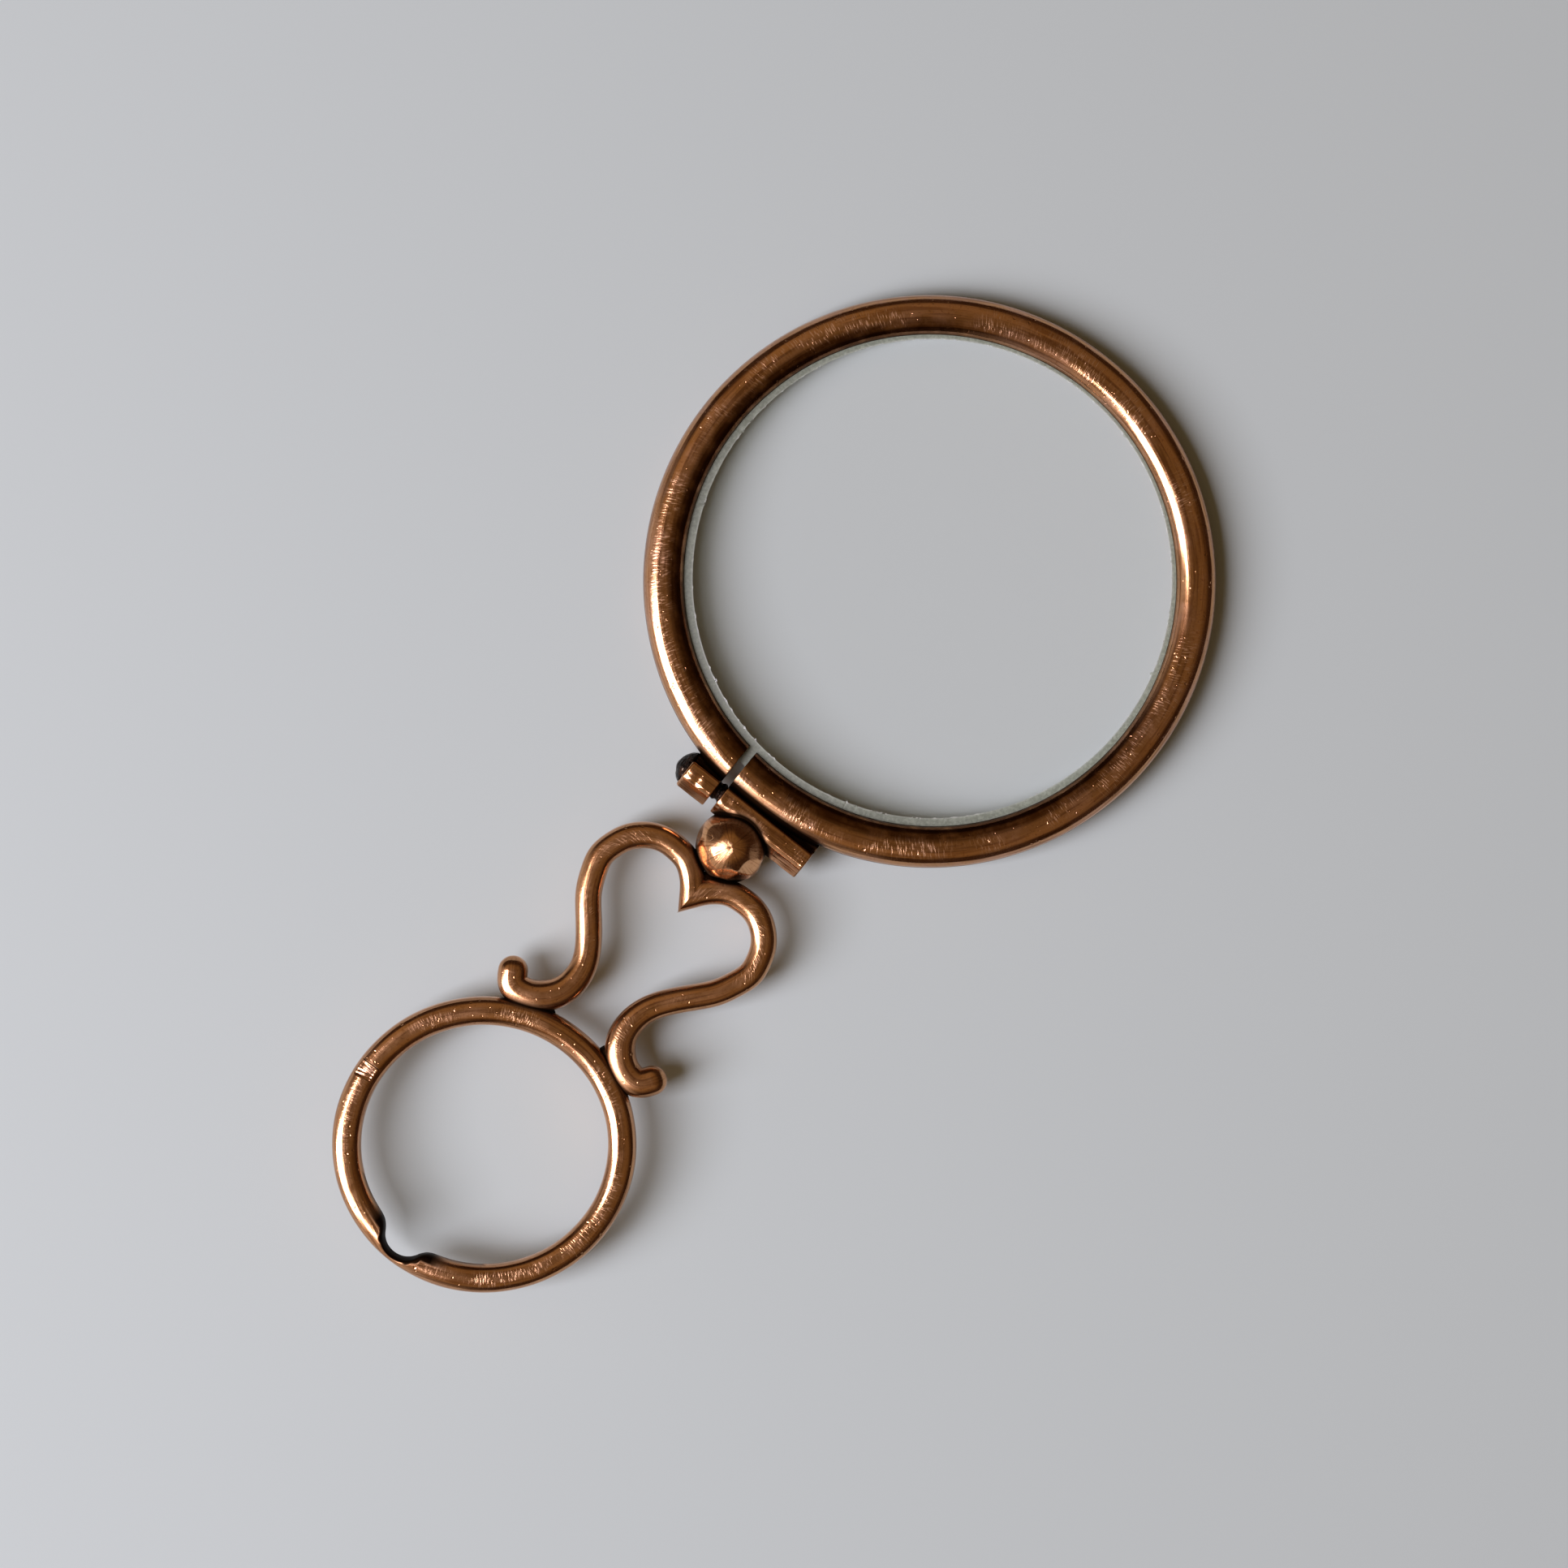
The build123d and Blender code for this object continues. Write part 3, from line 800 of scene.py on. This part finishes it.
def tube_outline(low, high, low_round, high_round):
    """(x, radius) round a tube's wall: outside with rounded corners, end face, bore, end face."""
    turn, face = np.linspace(0, np.pi / 2, 5), np.linspace(0.85, 0.15, 4)
    inner = bore_radius + bore_edge

    def end(x, inwards, round_by):
        """From the outside over the rounded corner, and down the end face."""
        corner = joined(x + inwards * round_by * (1 - np.sin(turn)),
                        barrel_radius - round_by * (1 - np.cos(turn)))
        return np.concatenate([corner, joined(x, inner + face * (barrel_radius - round_by - inner))])

    left, right = end(low.x, 1, low_round)[::-1], end(high.x, -1, high_round)
    outer = joined(np.linspace(low.x + low_round, high.x - high_round, 70)[1:-1], barrel_radius)
    wall = joined(np.linspace(high.x, low.x, 12), bore_radius)
    return np.concatenate([left[len(face):], outer, right, wall, left[:len(face)]]).T


def tube_grid(low, high, low_round, high_round, dents, seed, columns=180):
    """Tube points [outline, angle], less the filed flats, waves, dents and the side towards the rim."""
    x, radius = tube_outline(low, high, low_round, high_round)[..., None]
    angle = np.linspace(-np.pi / 2, 1.5 * np.pi, columns, endpoint=False)
    outside = smoothstep(radius, bore_radius + 0.2 * mm, barrel_radius - 0.1 * mm)
    limits = [share / np.maximum(np.cos(angle - np.radians(at)), 0.3) for at, share in filed_flats]
    radius = radius * (1 + (soft_least(joined(1.0, *limits), flat_softness) - 1) * outside)
    place = joined(x, barrel_radius * np.cos(angle), barrel_radius * np.sin(angle))
    dip = 0.03 * mm * waves(place, 2.6 * mm, seed) + 0.025 * mm * waves(place, 1.1 * mm, seed + 1, 30)
    for where, degrees, length, width, depth in dents:
        turn = angle_from(angle, np.radians(degrees))
        dip = dip + depth * mm * bell(x - where * mm, length * mm) * bell(turn, np.radians(width))
    dip = dip + rim_side_depth * bell(np.cos(angle - rim_side_angle) - 1, rim_side_reach)
    radius = radius - dip * outside
    return joined(x, barrel_y + radius * np.cos(angle), middle_z + radius * np.sin(angle))


# %% Long and short tube
def dress_tube(name, node_name, low, high, low_round, high_round, dents, seed):
    """One tube: its outline wraps, so the rows wrap as well as the columns."""
    grid = tube_grid(low, high, low_round, high_round, dents, seed)
    outline = tube_outline(low, high, low_round, high_round)
    along = np.concatenate([outline[0], outline[0][:1]])
    around = np.linspace(0, 2 * np.pi * barrel_radius, grid.shape[1] + 1)
    towards_rim = (grid[..., 1] - barrel_y) / barrel_radius
    dress(name, grid, along, around, True, node_name=node_name, satin=0.0, bloom=0.1,
          rub=0.5 * smoothstep(waves(grid, 3 * mm, seed), 0.2, 0.8),
          # Painted shade and stain: darker towards the rim's side of the tube.
          stain_and_shade=0.6 * smoothstep(towards_rim, 0.4, 1.0))


# a dent is its x in mm, angle in degrees, half length in mm, half width in degrees and depth in mm
long_dents = [(-2.2, 118, 0.35, 14, 0.06), (-1.5, 104, 0.3, 12, 0.05), (-1.9, 142, 0.4, 12, 0.05),
              (-0.9, 112, 0.3, 10, 0.04)]
short_dents = [(-5.3, 112, 0.35, 16, 0.06), (-4.3, 108, 0.3, 20, 0.07)]
dress_tube("long_tube", "thread_barrel", long_low, long_high, 0.1 * mm, 0.12 * mm, long_dents, 31)
dress_tube("short_tube", "head_barrel", short_low, short_high, 0.22 * mm, 0.1 * mm, short_dents, 41)

# %% [markdown]
# ## The screw
# A small screw with a domed, slotted head and a real thread, all one grid from the middle
# of the head to the tip. A boolean would leave ragged faces along the slot, so the grid's
# columns are pinned to its edges: at distance r from the axis an edge lies at the angle
# asin(half width / r), and it has two columns, one above and one at the slot's floor. The
# thread is a radius that depends on x and the angle together.

# %% Surface of the screw
screw_axis_x = short_low.x
head_radius, head_height = (screw_high.z - screw_low.z) / 2, short_low.x - screw_low.x
head_edge = 0.12 * mm
slot_half, slot_depth = 0.17 * mm, 0.42 * mm
shank_radius, thread_depth, thread_pitch = 0.77 * mm, 0.13 * mm, 0.6 * mm
thread_begin, thread_full = 1.2 * mm, 1.9 * mm
tip_chamfer = 0.2 * mm
in_slot, in_half = 5, 24


def screw_angles(reach):
    """Columns at each distance from the axis: slot, upper half, slot, lower half, edges doubled."""
    edge = np.arcsin(np.clip(slot_half / np.maximum(reach, 1e-9), 0, 1))[:, None]
    first = np.linspace(-1, 1, in_slot) * edge
    second = edge + np.linspace(0, 1, in_half) * (np.pi - 2 * edge)
    return np.concatenate([first, second, first + np.pi, second + np.pi], axis=1)


def turned_about(x, radius, angles):
    """Points (x, radius cos a, radius sin a) of a turned surface."""
    return joined(x, radius * np.cos(angles), radius * np.sin(angles))


def screw_grid():
    """Screw points [row, column]: head's face, its edge, its underside, thread, tip."""
    dome = head_height - head_edge
    ball = (head_radius**2 + dome**2) / (2 * dome)
    inner = np.linspace(0, slot_half, 4)
    reach = np.concatenate([inner, [slot_half], np.linspace(slot_half, head_radius, 26)[1:]])[:, None]
    face = -head_height + ball - np.sqrt(ball**2 - reach**2)
    in_the_slot = np.concatenate([np.ones(in_slot), np.zeros(in_half)] * 2).astype(bool)
    sunk = in_the_slot | (np.arange(len(reach)) < len(inner))[:, None]
    face = np.where(sunk, np.maximum(face, -head_height + slot_depth), face)
    head = turned_about(face, reach, screw_angles(reach[:, 0]))

    angles = screw_angles(np.array([head_radius]))
    length = screw_high.x - screw_axis_x
    x = np.concatenate([[-0.6 * head_edge, 0, 0], np.linspace(0, length - tip_chamfer, 330),
                        [length, length]])[:, None]
    phase = (x / thread_pitch - angles / (2 * np.pi)) % 1
    thread = shank_radius - thread_depth + thread_depth * smoothstep(np.abs(2 * phase - 1), 0.18, 0.82)
    begin = smoothstep(x, thread_begin, thread_full)
    radius = shank_radius * (1 - begin) + thread * begin
    radius[0] = radius[1] = head_radius
    radius[2] = shank_radius
    radius[-2], radius[-1] = np.minimum(radius[-2], shank_radius - tip_chamfer), 0
    grid = np.concatenate([head, turned_about(x, radius, angles)])
    dip = 0.08 * mm * waves(grid, 0.9 * mm, 51) + 0.05 * mm * waves(grid, 0.35 * mm, 52)
    grid[..., 0] += dip * smoothstep(-grid[..., 0], 0.02 * mm, 0.2 * mm)
    return grid + np.array([screw_axis_x, barrel_y, middle_z])


# %% Screw
points = screw_grid()
screw = make_piece("clamp_screw_dark", points, np.arange(len(points)) * 0.05 * mm,
                   np.linspace(0, 5 * mm, points.shape[1] + 1), False, {}, crease=35, weld=5e-7)
screw.data.materials.append(steel)
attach(screw, "screw")
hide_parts("clamp_screw")

# %% [markdown]
# ## The ball
# The ball between tube and heart was filed round, and its soft flats catch the light one
# by one. A ball cut by planes has the radius min(R, h / (n . d)) in the direction n, where
# d points at a flat and h is its distance from the centre. The soft minimum blends them.

# %% Ball with filed flats
# a flat is its azimuth and height in degrees, and its distance as a share of the ball's radius
ball_flats = [(200, 10, 0.95), (245, -18, 0.94), (292, 6, 0.945), (338, -14, 0.94), (16, 2, 0.94),
              (160, -20, 0.95), (232, 34, 0.97), (300, 40, 0.965), (262, 68, 0.985), (348, 36, 0.95),
              (268, -50, 0.95), (180, 52, 0.97), (137, 20, 0.94), (26, 46, 0.965), (90, 56, 0.97),
              (322, 20, 0.945)]


def ball_grid(rows=200, columns=260, softness=0.018 * mm):
    """Ball points by latitude from the bottom pole and longitude, with its filed flats."""
    normal = sphere_headings(rows, columns)
    azimuth, height, share = np.array(ball_flats).T
    facing = np.maximum(normal @ heading_of(np.radians(height), np.radians(azimuth)).T, 0.2)
    round_radius = np.full((rows, columns, 1), bead_radius)
    radii = np.concatenate([round_radius, share * bead_radius / facing], axis=-1)
    radius = soft_least(radii, softness) - 0.05 * mm * waves(normal * bead_radius, 1.6 * mm, 61)
    return bead_centre + normal * radius[..., None]


points = ball_grid()
dress("ball", points, np.linspace(0, np.pi * bead_radius, points.shape[0]),
      np.linspace(0, 2 * np.pi * bead_radius, points.shape[1] + 1), False, node_name="bead",
      rub=0.6 * waves(points, 2 * mm, 22), satin=0.55, bloom=0.0, tarnish_and_shade=0.05)

# %% [markdown]
# ## Solder
# Where the ball, the heart and the ring meet, hard solder ran into the corners and went
# dark. Its near black also paints the shade in these corners. A lump could be sculpted. It
# is a ball stretched along the three axes here, with slow waves taken off, because so little
# of it shows.

# %% Solder in the corners
def solder_lump(centre, half_sizes, seed, rows=40, columns=60):
    """Lump points: centre + half sizes times the unit direction, less a wave."""
    normal = sphere_headings(rows, columns)
    size = 1 - 0.3 * waves(normal, 1.2, seed)
    return np.array(centre) + normal * np.array(half_sizes) * size[..., None]


solder_places = [("solder_at_ball", (0.82, -5.95), (0.85, 0.62, 0.72)),
                 ("solder_at_tube", (0.55, -1.15), (1.3, 0.45, 0.9)),
                 ("solder_at_left_foot", (-2.45, -20.72), (0.65, 0.34, 0.5)),
                 ("solder_at_right_foot", (2.72, -20.75), (0.55, 0.62, 0.6))]
for count, (name, (x, y), sizes) in enumerate(solder_places):
    points = solder_lump((x * mm, y * mm, middle_z), np.array(sizes) * mm, 110 + count)
    # Near black: dark solder, and painted shade in the corners.
    dress(name, points, np.linspace(0, 2 * mm, points.shape[0]),
          np.linspace(0, 3 * mm, points.shape[1] + 1), False, stain_and_shade=0.85, satin=1.0)

# %% [markdown]
# ## The heart
# Each scroll is a round wire carried along its line. It swells towards the foot and ends
# in a half ball. A curve with a bevel would give the wire but not the joint: at the cleft
# both wires are mitred, so every lengthwise line starts where it crosses the heart's
# leaning axis, found on a fine row of samples, and the rows are spread from there.

# %% Surface of a scroll
foot_swell, bulb_swell = 1.17, 1.12
foot_start, foot_full = 0.66, 0.88
mitre_search = np.linspace(-3.5 * mm, 5 * mm, 900)[:, None]


def wire_radius_at(share):
    """Radius at a share of the line: plain wire, a cosine swell to the foot, a slight fall to the bulb."""
    rise = np.clip((share - foot_start) / (foot_full - foot_start), 0, 1)
    fall = np.clip((share - foot_full) / (1 - foot_full), 0, 1)
    swell = (foot_swell - 1) * (1 - np.cos(np.pi * rise)) / 2
    return scroll_wire * (1 + swell - (foot_swell - bulb_swell) * fall**2)


def tube_places(line, length, at, angle, extra=0.0, scale=1.0):
    """Points of the tube at t = at and an angle round it: line + r (cos a . side + sin a . up)."""
    centre, heading = line(at)
    side = joined(heading[..., 1], -heading[..., 0], 0.0)
    radius = wire_radius_at(np.clip(at, 0, length) / length) * scale * squared(np.cos(angle), np.sin(angle))
    up = np.array([0, 0, 1.0])
    ring = radius[..., None] * (np.cos(angle)[..., None] * side + np.sin(angle)[..., None] * up)
    return centre + heading * np.asarray(extra)[..., None] + ring


def scroll_grid(line, length, side, seed, rows=420, around=44):
    """Scroll points [row, column] from the mitre to the foot's round end, and their two lengths."""
    angle = np.linspace(-np.pi / 2, 1.5 * np.pi, around, endpoint=False)
    samples = tube_places(line, length, mitre_search, angle)
    lean = heart_axis_x + heart_lean_share * (samples[..., 1] - ring_centre[1] - ring_radius)
    beyond = side * (samples[..., 0] - lean) < 0
    last = len(mitre_search) - 1 - np.argmax(beyond[::-1], axis=0)
    start = mitre_search[last, 0]
    at = start + (length - start) * np.linspace(0, 1, rows)[:, None]
    turn = np.linspace(0, np.pi / 2, 14)[1:, None] + 0 * angle
    bulb = scroll_wire * bulb_swell
    cap = tube_places(line, length, length + 0 * turn, angle, bulb * np.sin(turn), np.cos(turn))
    grid = np.concatenate([tube_places(line, length, at, angle), cap])
    normal = grid - line(np.concatenate([at, length + 0 * turn]))[0]
    normal /= np.linalg.norm(normal, axis=-1, keepdims=True)
    dip = 0.02 * mm * waves(grid, 3 * mm, seed) + 0.02 * mm * waves(grid, 8 * mm, seed + 1)
    along = np.concatenate([at[:, 0], length + bulb * turn[:, 0]])
    return grid - normal * dip[..., None], along, np.linspace(0, 2 * np.pi * scroll_wire, around + 1)


# %% Scrolls
for name, line, length, side, seed in (("left_scroll", left_line, left_length, -1, 71),
                                       ("right_scroll", right_line, right_length, 1, 81)):
    points, along, around = scroll_grid(line, length, side, seed)
    dress(name + "_wire", points, along, around, False, node_name=name, satin=0.45, bloom=0.2,
          rub=0.7 * smoothstep(waves(points, 5 * mm, seed + 5), 0.3, 0.8))

# %% [markdown]
# ## The finger ring
# A hoop of round wire, a little oval, worn half through where a link has hung. Cutting a
# cylinder out of a torus would leave sharp, even edges. Worn metal is what is left inside
# two round limits: the wire, and the link's path, a circle about its own axis. From a point
# in the middle of what is left, a ray goes out in each direction until it meets the nearer
# limit. That has no simple formula, so all rays are halved together until they close in.

# %% Outline of the worn notch
notch_x, notch_neck, notch_radius = -0.29 * mm, 0.75 * mm, 1.75 * mm
link_radius, shoulder_depth = 1.2 * mm, 0.08 * mm
left_shoulder, right_shoulder = 3.4 * mm, 2.6 * mm
notch_bottom = -ring_radius + notch_neck
notch_angle = 1.5 * np.pi + notch_x / ring_radius


def notch_floor(x):
    """Height of the notch's outline over x, seen from above: worn circle, flared shoulder, plain inside."""
    inside = ring_path_radius - ring_wire - shoulder_depth
    worn_centre = np.array([notch_x, notch_bottom + notch_radius])
    floor = -np.sqrt(np.maximum(inside**2 - x**2, 0))
    worn = worn_centre[1] - np.sqrt(np.maximum(notch_radius**2 - (x - notch_x) ** 2, 0))
    gap = np.linalg.norm(worn_centre)
    towards = worn_centre / gap
    for side, shoulder_radius in ((-1, left_shoulder), (1, right_shoulder)):
        first, second = inside + shoulder_radius, notch_radius + shoulder_radius
        along = (first**2 - second**2 + gap**2) / (2 * gap)
        across = np.sqrt(first**2 - along**2)
        centre = towards * along + side * across * np.array([-towards[1], towards[0]])
        inner = worn_centre + (centre - worn_centre) * notch_radius / second
        outer = centre * inside / first
        low, high = sorted((inner[0], outer[0]))
        shoulder = centre[1] + np.sqrt(np.maximum(shoulder_radius**2 - (x - centre[0]) ** 2, 0))
        floor = np.where((x >= low) & (x <= high), shoulder, floor)
        if side == -1:
            in_worn = np.abs(x - notch_x) < np.abs(inner[0] - notch_x)
        else:
            in_worn = (x > notch_x) & (x < inner[0])
        floor = np.where(in_worn, worn, floor)
    return floor


print("wire left under the notch in mm:", round(notch_neck / mm, 2))

# %% Surface of the ring
mark_angle, mark_half, mark_depth = np.radians(186.2), 0.58 * mm, 0.075 * mm
halvings = 26


def ring_turns(rows):
    """Angles round the ring, closer together by the notch and the mark: equal steps of a running density."""
    even = np.linspace(-0.5 * np.pi, 1.5 * np.pi, 4001)
    dense = 1 + sum(4 * bell(angle_from(even, at), reach)
                    for at, reach in ((notch_angle, 0.32), (mark_angle, 0.1)))
    running = np.concatenate([[0], np.cumsum((dense[1:] + dense[:-1]) / 2)])
    return np.interp(np.arange(rows) / rows * running[-1], running, even)


def ring_grid(rows=760, around=96, softness=0.1 * mm):
    """Both angles, both directions, the rays' start and length, and how much of each point the link wore."""
    turn = ring_turns(rows)[:, None]
    tilt = np.linspace(-np.pi / 2, 1.5 * np.pi, around, endpoint=False)
    out, up = joined(np.cos(turn), np.sin(turn), 0.0), np.array([0, 0, 1.0])
    near = bell(angle_from(turn, notch_angle), 0.19)
    centre_radius = ring_path_radius + near * (ring_radius - 0.5 * notch_neck - ring_path_radius)
    ray = out * np.cos(tilt)[:, None] + up * np.sin(tilt)[:, None]
    off = centre_radius - ring_path_radius
    along_ray = off * np.cos(tilt)
    to_wire = -along_ray + np.sqrt(along_ray**2 + ring_wire**2 - off**2)
    link_y = notch_bottom - link_radius
    low, high = np.zeros_like(to_wire), 3 * ring_wire + 0 * to_wire
    for _ in range(halvings):
        middle = (low + high) / 2
        place = out * centre_radius[:, None] + ray * middle[..., None]
        left = np.hypot(place[..., 1] - link_y, place[..., 2]) < notch_floor(place[..., 0]) - link_y
        left |= place[..., 1] > -0.6 * ring_radius
        low, high = np.where(left, middle, low), np.where(left, high, middle)
    both = soft_least(joined(low, to_wire), softness)
    radius = np.where(low > to_wire + 8 * softness, to_wire, both)
    worn = smoothstep(to_wire - low, -0.4 * mm, 0.1 * mm)
    return turn, tilt, out, ray, centre_radius, radius, worn


turn, tilt, out, ray, centre_radius, radius, worn = ring_grid()
print("rows round the ring and columns round its wire:", radius.shape)

# %% [markdown]
# A punch left a small square on the ring. What it says is left out, and bare stripes stand
# in for it. It is sunk into the surface along with the waves, then the section is squared
# and the hoop made oval.

# %% Punch mark, oval and waves
oval_long, oval_turn = 0.15 * mm, np.radians(38.3)
stripe_width, stripe_slant = 0.27 * mm, 0.3 * mm

surface = out * ring_radius + ray * ring_wire
dip = (0.02 * waves(surface, 4 * mm, 91) + 0.03 * waves(surface, 11 * mm, 92)) * mm
mark_along = angle_from(turn, mark_angle) * ring_path_radius
mark_around = (tilt - np.pi / 2 + 0.15) * ring_wire + 0 * mark_along
stamp = (1 - smoothstep(np.abs(mark_along), 0.72 * mark_half, mark_half)) * (
    1 - smoothstep(np.abs(mark_around), 0.9 * mark_half, 1.2 * mark_half))
stripes = 0.5 + 0.5 * np.sin(mark_along * 2 * np.pi / stripe_width + mark_around / stripe_slant)
dip = dip + mark_depth * stamp * (0.75 + 0.35 * stripes * smoothstep(mark_along, -0.3 * mark_half, 0))
oval = oval_long * np.cos(2 * (turn - oval_turn))
outward = (centre_radius - ring_path_radius) + (radius - dip) * np.cos(tilt)
upward = (radius - dip) * np.sin(tilt)
square = squared(outward, upward)
outward, upward = (ring_path_radius + oval + outward * square)[..., None], (upward * square)[..., None]
points = ring_centre + out * outward + np.array([0, 0, 1.0]) * upward
print("the mark is sunk by mm:", round(mark_depth / mm, 3))

# %% [markdown]
# The notch and the wire's inner side about it are painted black, with a ragged edge:
# tarnish, and the painted shade and dark reflection of the worn hollow. A rubbed scar
# crosses the wire to the notch's right.

# %% Finger ring
scar_angle, scar_reach = np.radians(309), 0.12
black_near, black_far, black_reach = 0.42 * mm, 0.66 * mm, 0.38

scar = bell(angle_from(turn, scar_angle), scar_reach)
rub = np.clip(0.7 * smoothstep(waves(points, 6 * mm, 95), 0.35, 0.75) + scar + stamp, 0, 1)
from_link = np.hypot(points[..., 0] - notch_x,
                     points[..., 1] - ring_centre[1] - notch_bottom - notch_radius) - notch_radius
from_link = from_link + 0.25 * mm * waves(points, 0.9 * mm, 96)
inside = smoothstep(-(radius * np.cos(tilt) + centre_radius - ring_path_radius) / ring_wire, 0.1, 0.35)
# Painted shade and tarnish: black over the worn notch and the inner side about it.
black = np.maximum(1 - smoothstep(from_link, black_near, black_far),
                   inside * bell(angle_from(turn, notch_angle), black_reach, power=6))
mark_edge = bell(mark_along + 1.1 * mark_half, 0.06 * mm) * (np.abs(mark_around) < 1.2 * mark_half)
dress("finger_ring", points, np.append(turn[:, 0], turn[0, 0] + 2 * np.pi) * ring_path_radius,
      np.linspace(0, 2 * np.pi * ring_wire, len(tilt) + 1), True, node_name="suspension_ring", rub=rub,
      stain_and_shade=0.95 * np.maximum(np.maximum(worn, black), mark_edge), satin=0.15, bloom=0.3 + 0.7 * stamp)

# %% [markdown]
# ## The table
# The glass lies on a pale table. On a flat table the ball and the rim's far side touch
# first, so the table leans by the angle between them instead of the object, which keeps
# its frame.

# %% Table
rim_bottom = middle_z - rim_wire
table_slope = (rim_bottom - cad_low.z) / (cad_high.y - bead_centre[1])
table_gap = 0.01 * mm


def make_table(size=3.0, rows=2):
    """A flat sheet just under the ball's lowest point that rises with Y by the table's slope."""
    x, y = np.meshgrid(np.linspace(-size, size, rows), np.linspace(-size, size, rows), indexing="ij")
    z = cad_low.z - table_gap + (y - bead_centre[1]) * table_slope
    mesh = bpy.data.meshes.new("table")
    mesh.from_pydata(joined(x, y, z).reshape(-1, 3).tolist(), [], grid_cells(rows, rows, 0, 0)[2].tolist())
    return mesh


table = bpy.data.objects.new("table", make_table())
bpy.context.scene.collection.objects.link(table)
table.data.materials.append(
    new_material("pale_table", Base_Color=(0.560, 0.618, 0.612, 1), Roughness=0.6)[0])
table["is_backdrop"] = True
print("the table leans by degrees:", round(float(np.degrees(np.arctan(table_slope))), 2))

# %% [markdown]
# ## The camera
# The picture is taken from straight above, turned so that the handle runs from the lower
# left to the upper right. A long lens keeps the wires round at the picture's edges. Lamps
# are placed in the picture's own directions.

# %% Camera
picture_turn = np.arctan2(0.6202, 0.7845)
picture_right = np.array([np.cos(picture_turn), np.sin(picture_turn), 0])
picture_up = np.array([-np.sin(picture_turn), np.cos(picture_turn), 0])
aim = np.array([0.85 * mm, 3.09 * mm, middle_z])
view_width, lens_length, sensor = 115.9 * mm, 100.0, 36.0

camera = bpy.data.objects.new("camera", bpy.data.cameras.new("camera"))
camera.data.lens, camera.data.sensor_width = lens_length, sensor
camera.location = aim + np.array([0, 0, view_width * lens_length / sensor])
camera.rotation_euler = (0, 0, picture_turn)
bpy.context.scene.collection.objects.link(camera)
bpy.context.scene.camera = camera
print("the camera hangs above the object by mm:", round((camera.location.z - middle_z) / mm))

# %% [markdown]
# ## The lamp and the room
# One soft box stands to the picture's lower left. Its reflection is the bright line on
# every wire, and it draws the soft shadows. Round metal mirrors the whole room, so the rest
# of the tone comes from the world: pale walls behind the lamp, dark brown walls elsewhere,
# and a brownish ceiling, lighter to the picture's left and darker straight above, where the
# camera hangs. More lamps could do the same, with more shadows. The backdrop that the
# camera sees, also through the lens, is a plain pale grey.

# %% Lamp
def picture_heading(degrees):
    """Level unit vector, in degrees from the picture's right towards its top."""
    turn = np.radians(degrees)
    return np.cos(turn) * picture_right + np.sin(turn) * picture_up


key_degrees, key_rise, key_distance = 199, np.radians(47), 0.7
key_width, key_height, key_brightness = 0.30, 0.60, 9.5  # brightness is per area and direction

back = picture_heading(key_degrees) * np.cos(key_rise) + np.array([0, 0, np.sin(key_rise)])
side = np.cross([0, 0, 1.0], back)
side = side / np.linalg.norm(side)
lamp = bpy.data.lights.new("key_box", "AREA")
lamp.shape, lamp.size, lamp.size_y, lamp.color = "RECTANGLE", key_width, key_height, (1.0, 0.97, 1.08)
lamp.energy = key_brightness * np.pi * key_width * key_height
key_box = bpy.data.objects.new("key_box", lamp)
rows = np.eye(4)
rows[:3] = np.column_stack([side, np.cross(back, side), back, aim + back * key_distance])
key_box.matrix_world = Matrix(rows.tolist())
bpy.context.scene.collection.objects.link(key_box)
print("the soft box stands from the aim by mm:", [round(part / mm) for part in back * key_distance])

# %% Room
lit_wall_degrees = 203
lit_wall, dark_wall = (0.47, 0.425, 0.395, 1), (0.038, 0.021, 0.012, 1)
light_ceiling, dark_ceiling = (0.27, 0.185, 0.09, 1), (0.085, 0.052, 0.022, 1)
overhead, pale_backdrop = (0.118, 0.078, 0.034, 1), (0.60, 0.61, 0.63, 1)

world = bpy.data.worlds.new("room")
world.use_nodes = True
room = world.node_tree
heading = node(room, "ShaderNodeTexCoord").outputs["Generated"]


def towards(direction):
    """The cosine of the angle between where a ray goes and a direction: heading . direction."""
    made = node(room, "ShaderNodeVectorMath", [(0, heading), (1, tuple(direction))], operation="DOT_PRODUCT")
    return made.outputs["Value"]


upward = node(room, "ShaderNodeSeparateXYZ", [(0, heading)]).outputs["Z"]
walls = blend_colour(room, span(room, towards(picture_heading(lit_wall_degrees)), 0.45, 0.85),
                     dark_wall, lit_wall)
ceiling = blend_colour(room, span(room, towards(-picture_right), -0.8, 0.5), dark_ceiling, light_ceiling)
sky = blend_colour(room, span(room, upward, 0.55, 0.77), walls, ceiling)
sky = blend_colour(room, span(room, upward, 0.955, 0.995), sky, overhead)
ray = node(room, "ShaderNodeLightPath").outputs
seen = calculate(room, "MAXIMUM", ray["Is Camera Ray"], ray["Is Transmission Ray"])
room.links.new(blend_colour(room, seen, sky, pale_backdrop), room.nodes["Background"].inputs["Color"])
bpy.context.scene.world = world
bpy.context.scene.view_settings.view_transform = "Standard"
print("the room has", len(room.nodes), "nodes")

# %% [markdown]
# ## Measure and finish
# Both boxes are compared, and how far the dressed object grows past its solids is printed.
# The dressed object may not be larger than its solids.

# %% Finish
low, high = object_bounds()
growth = (*(cad_low - low), *(high - cad_high))
print("grows past the solids by mm:", [round(float(gap) / mm, 3) for gap in growth])
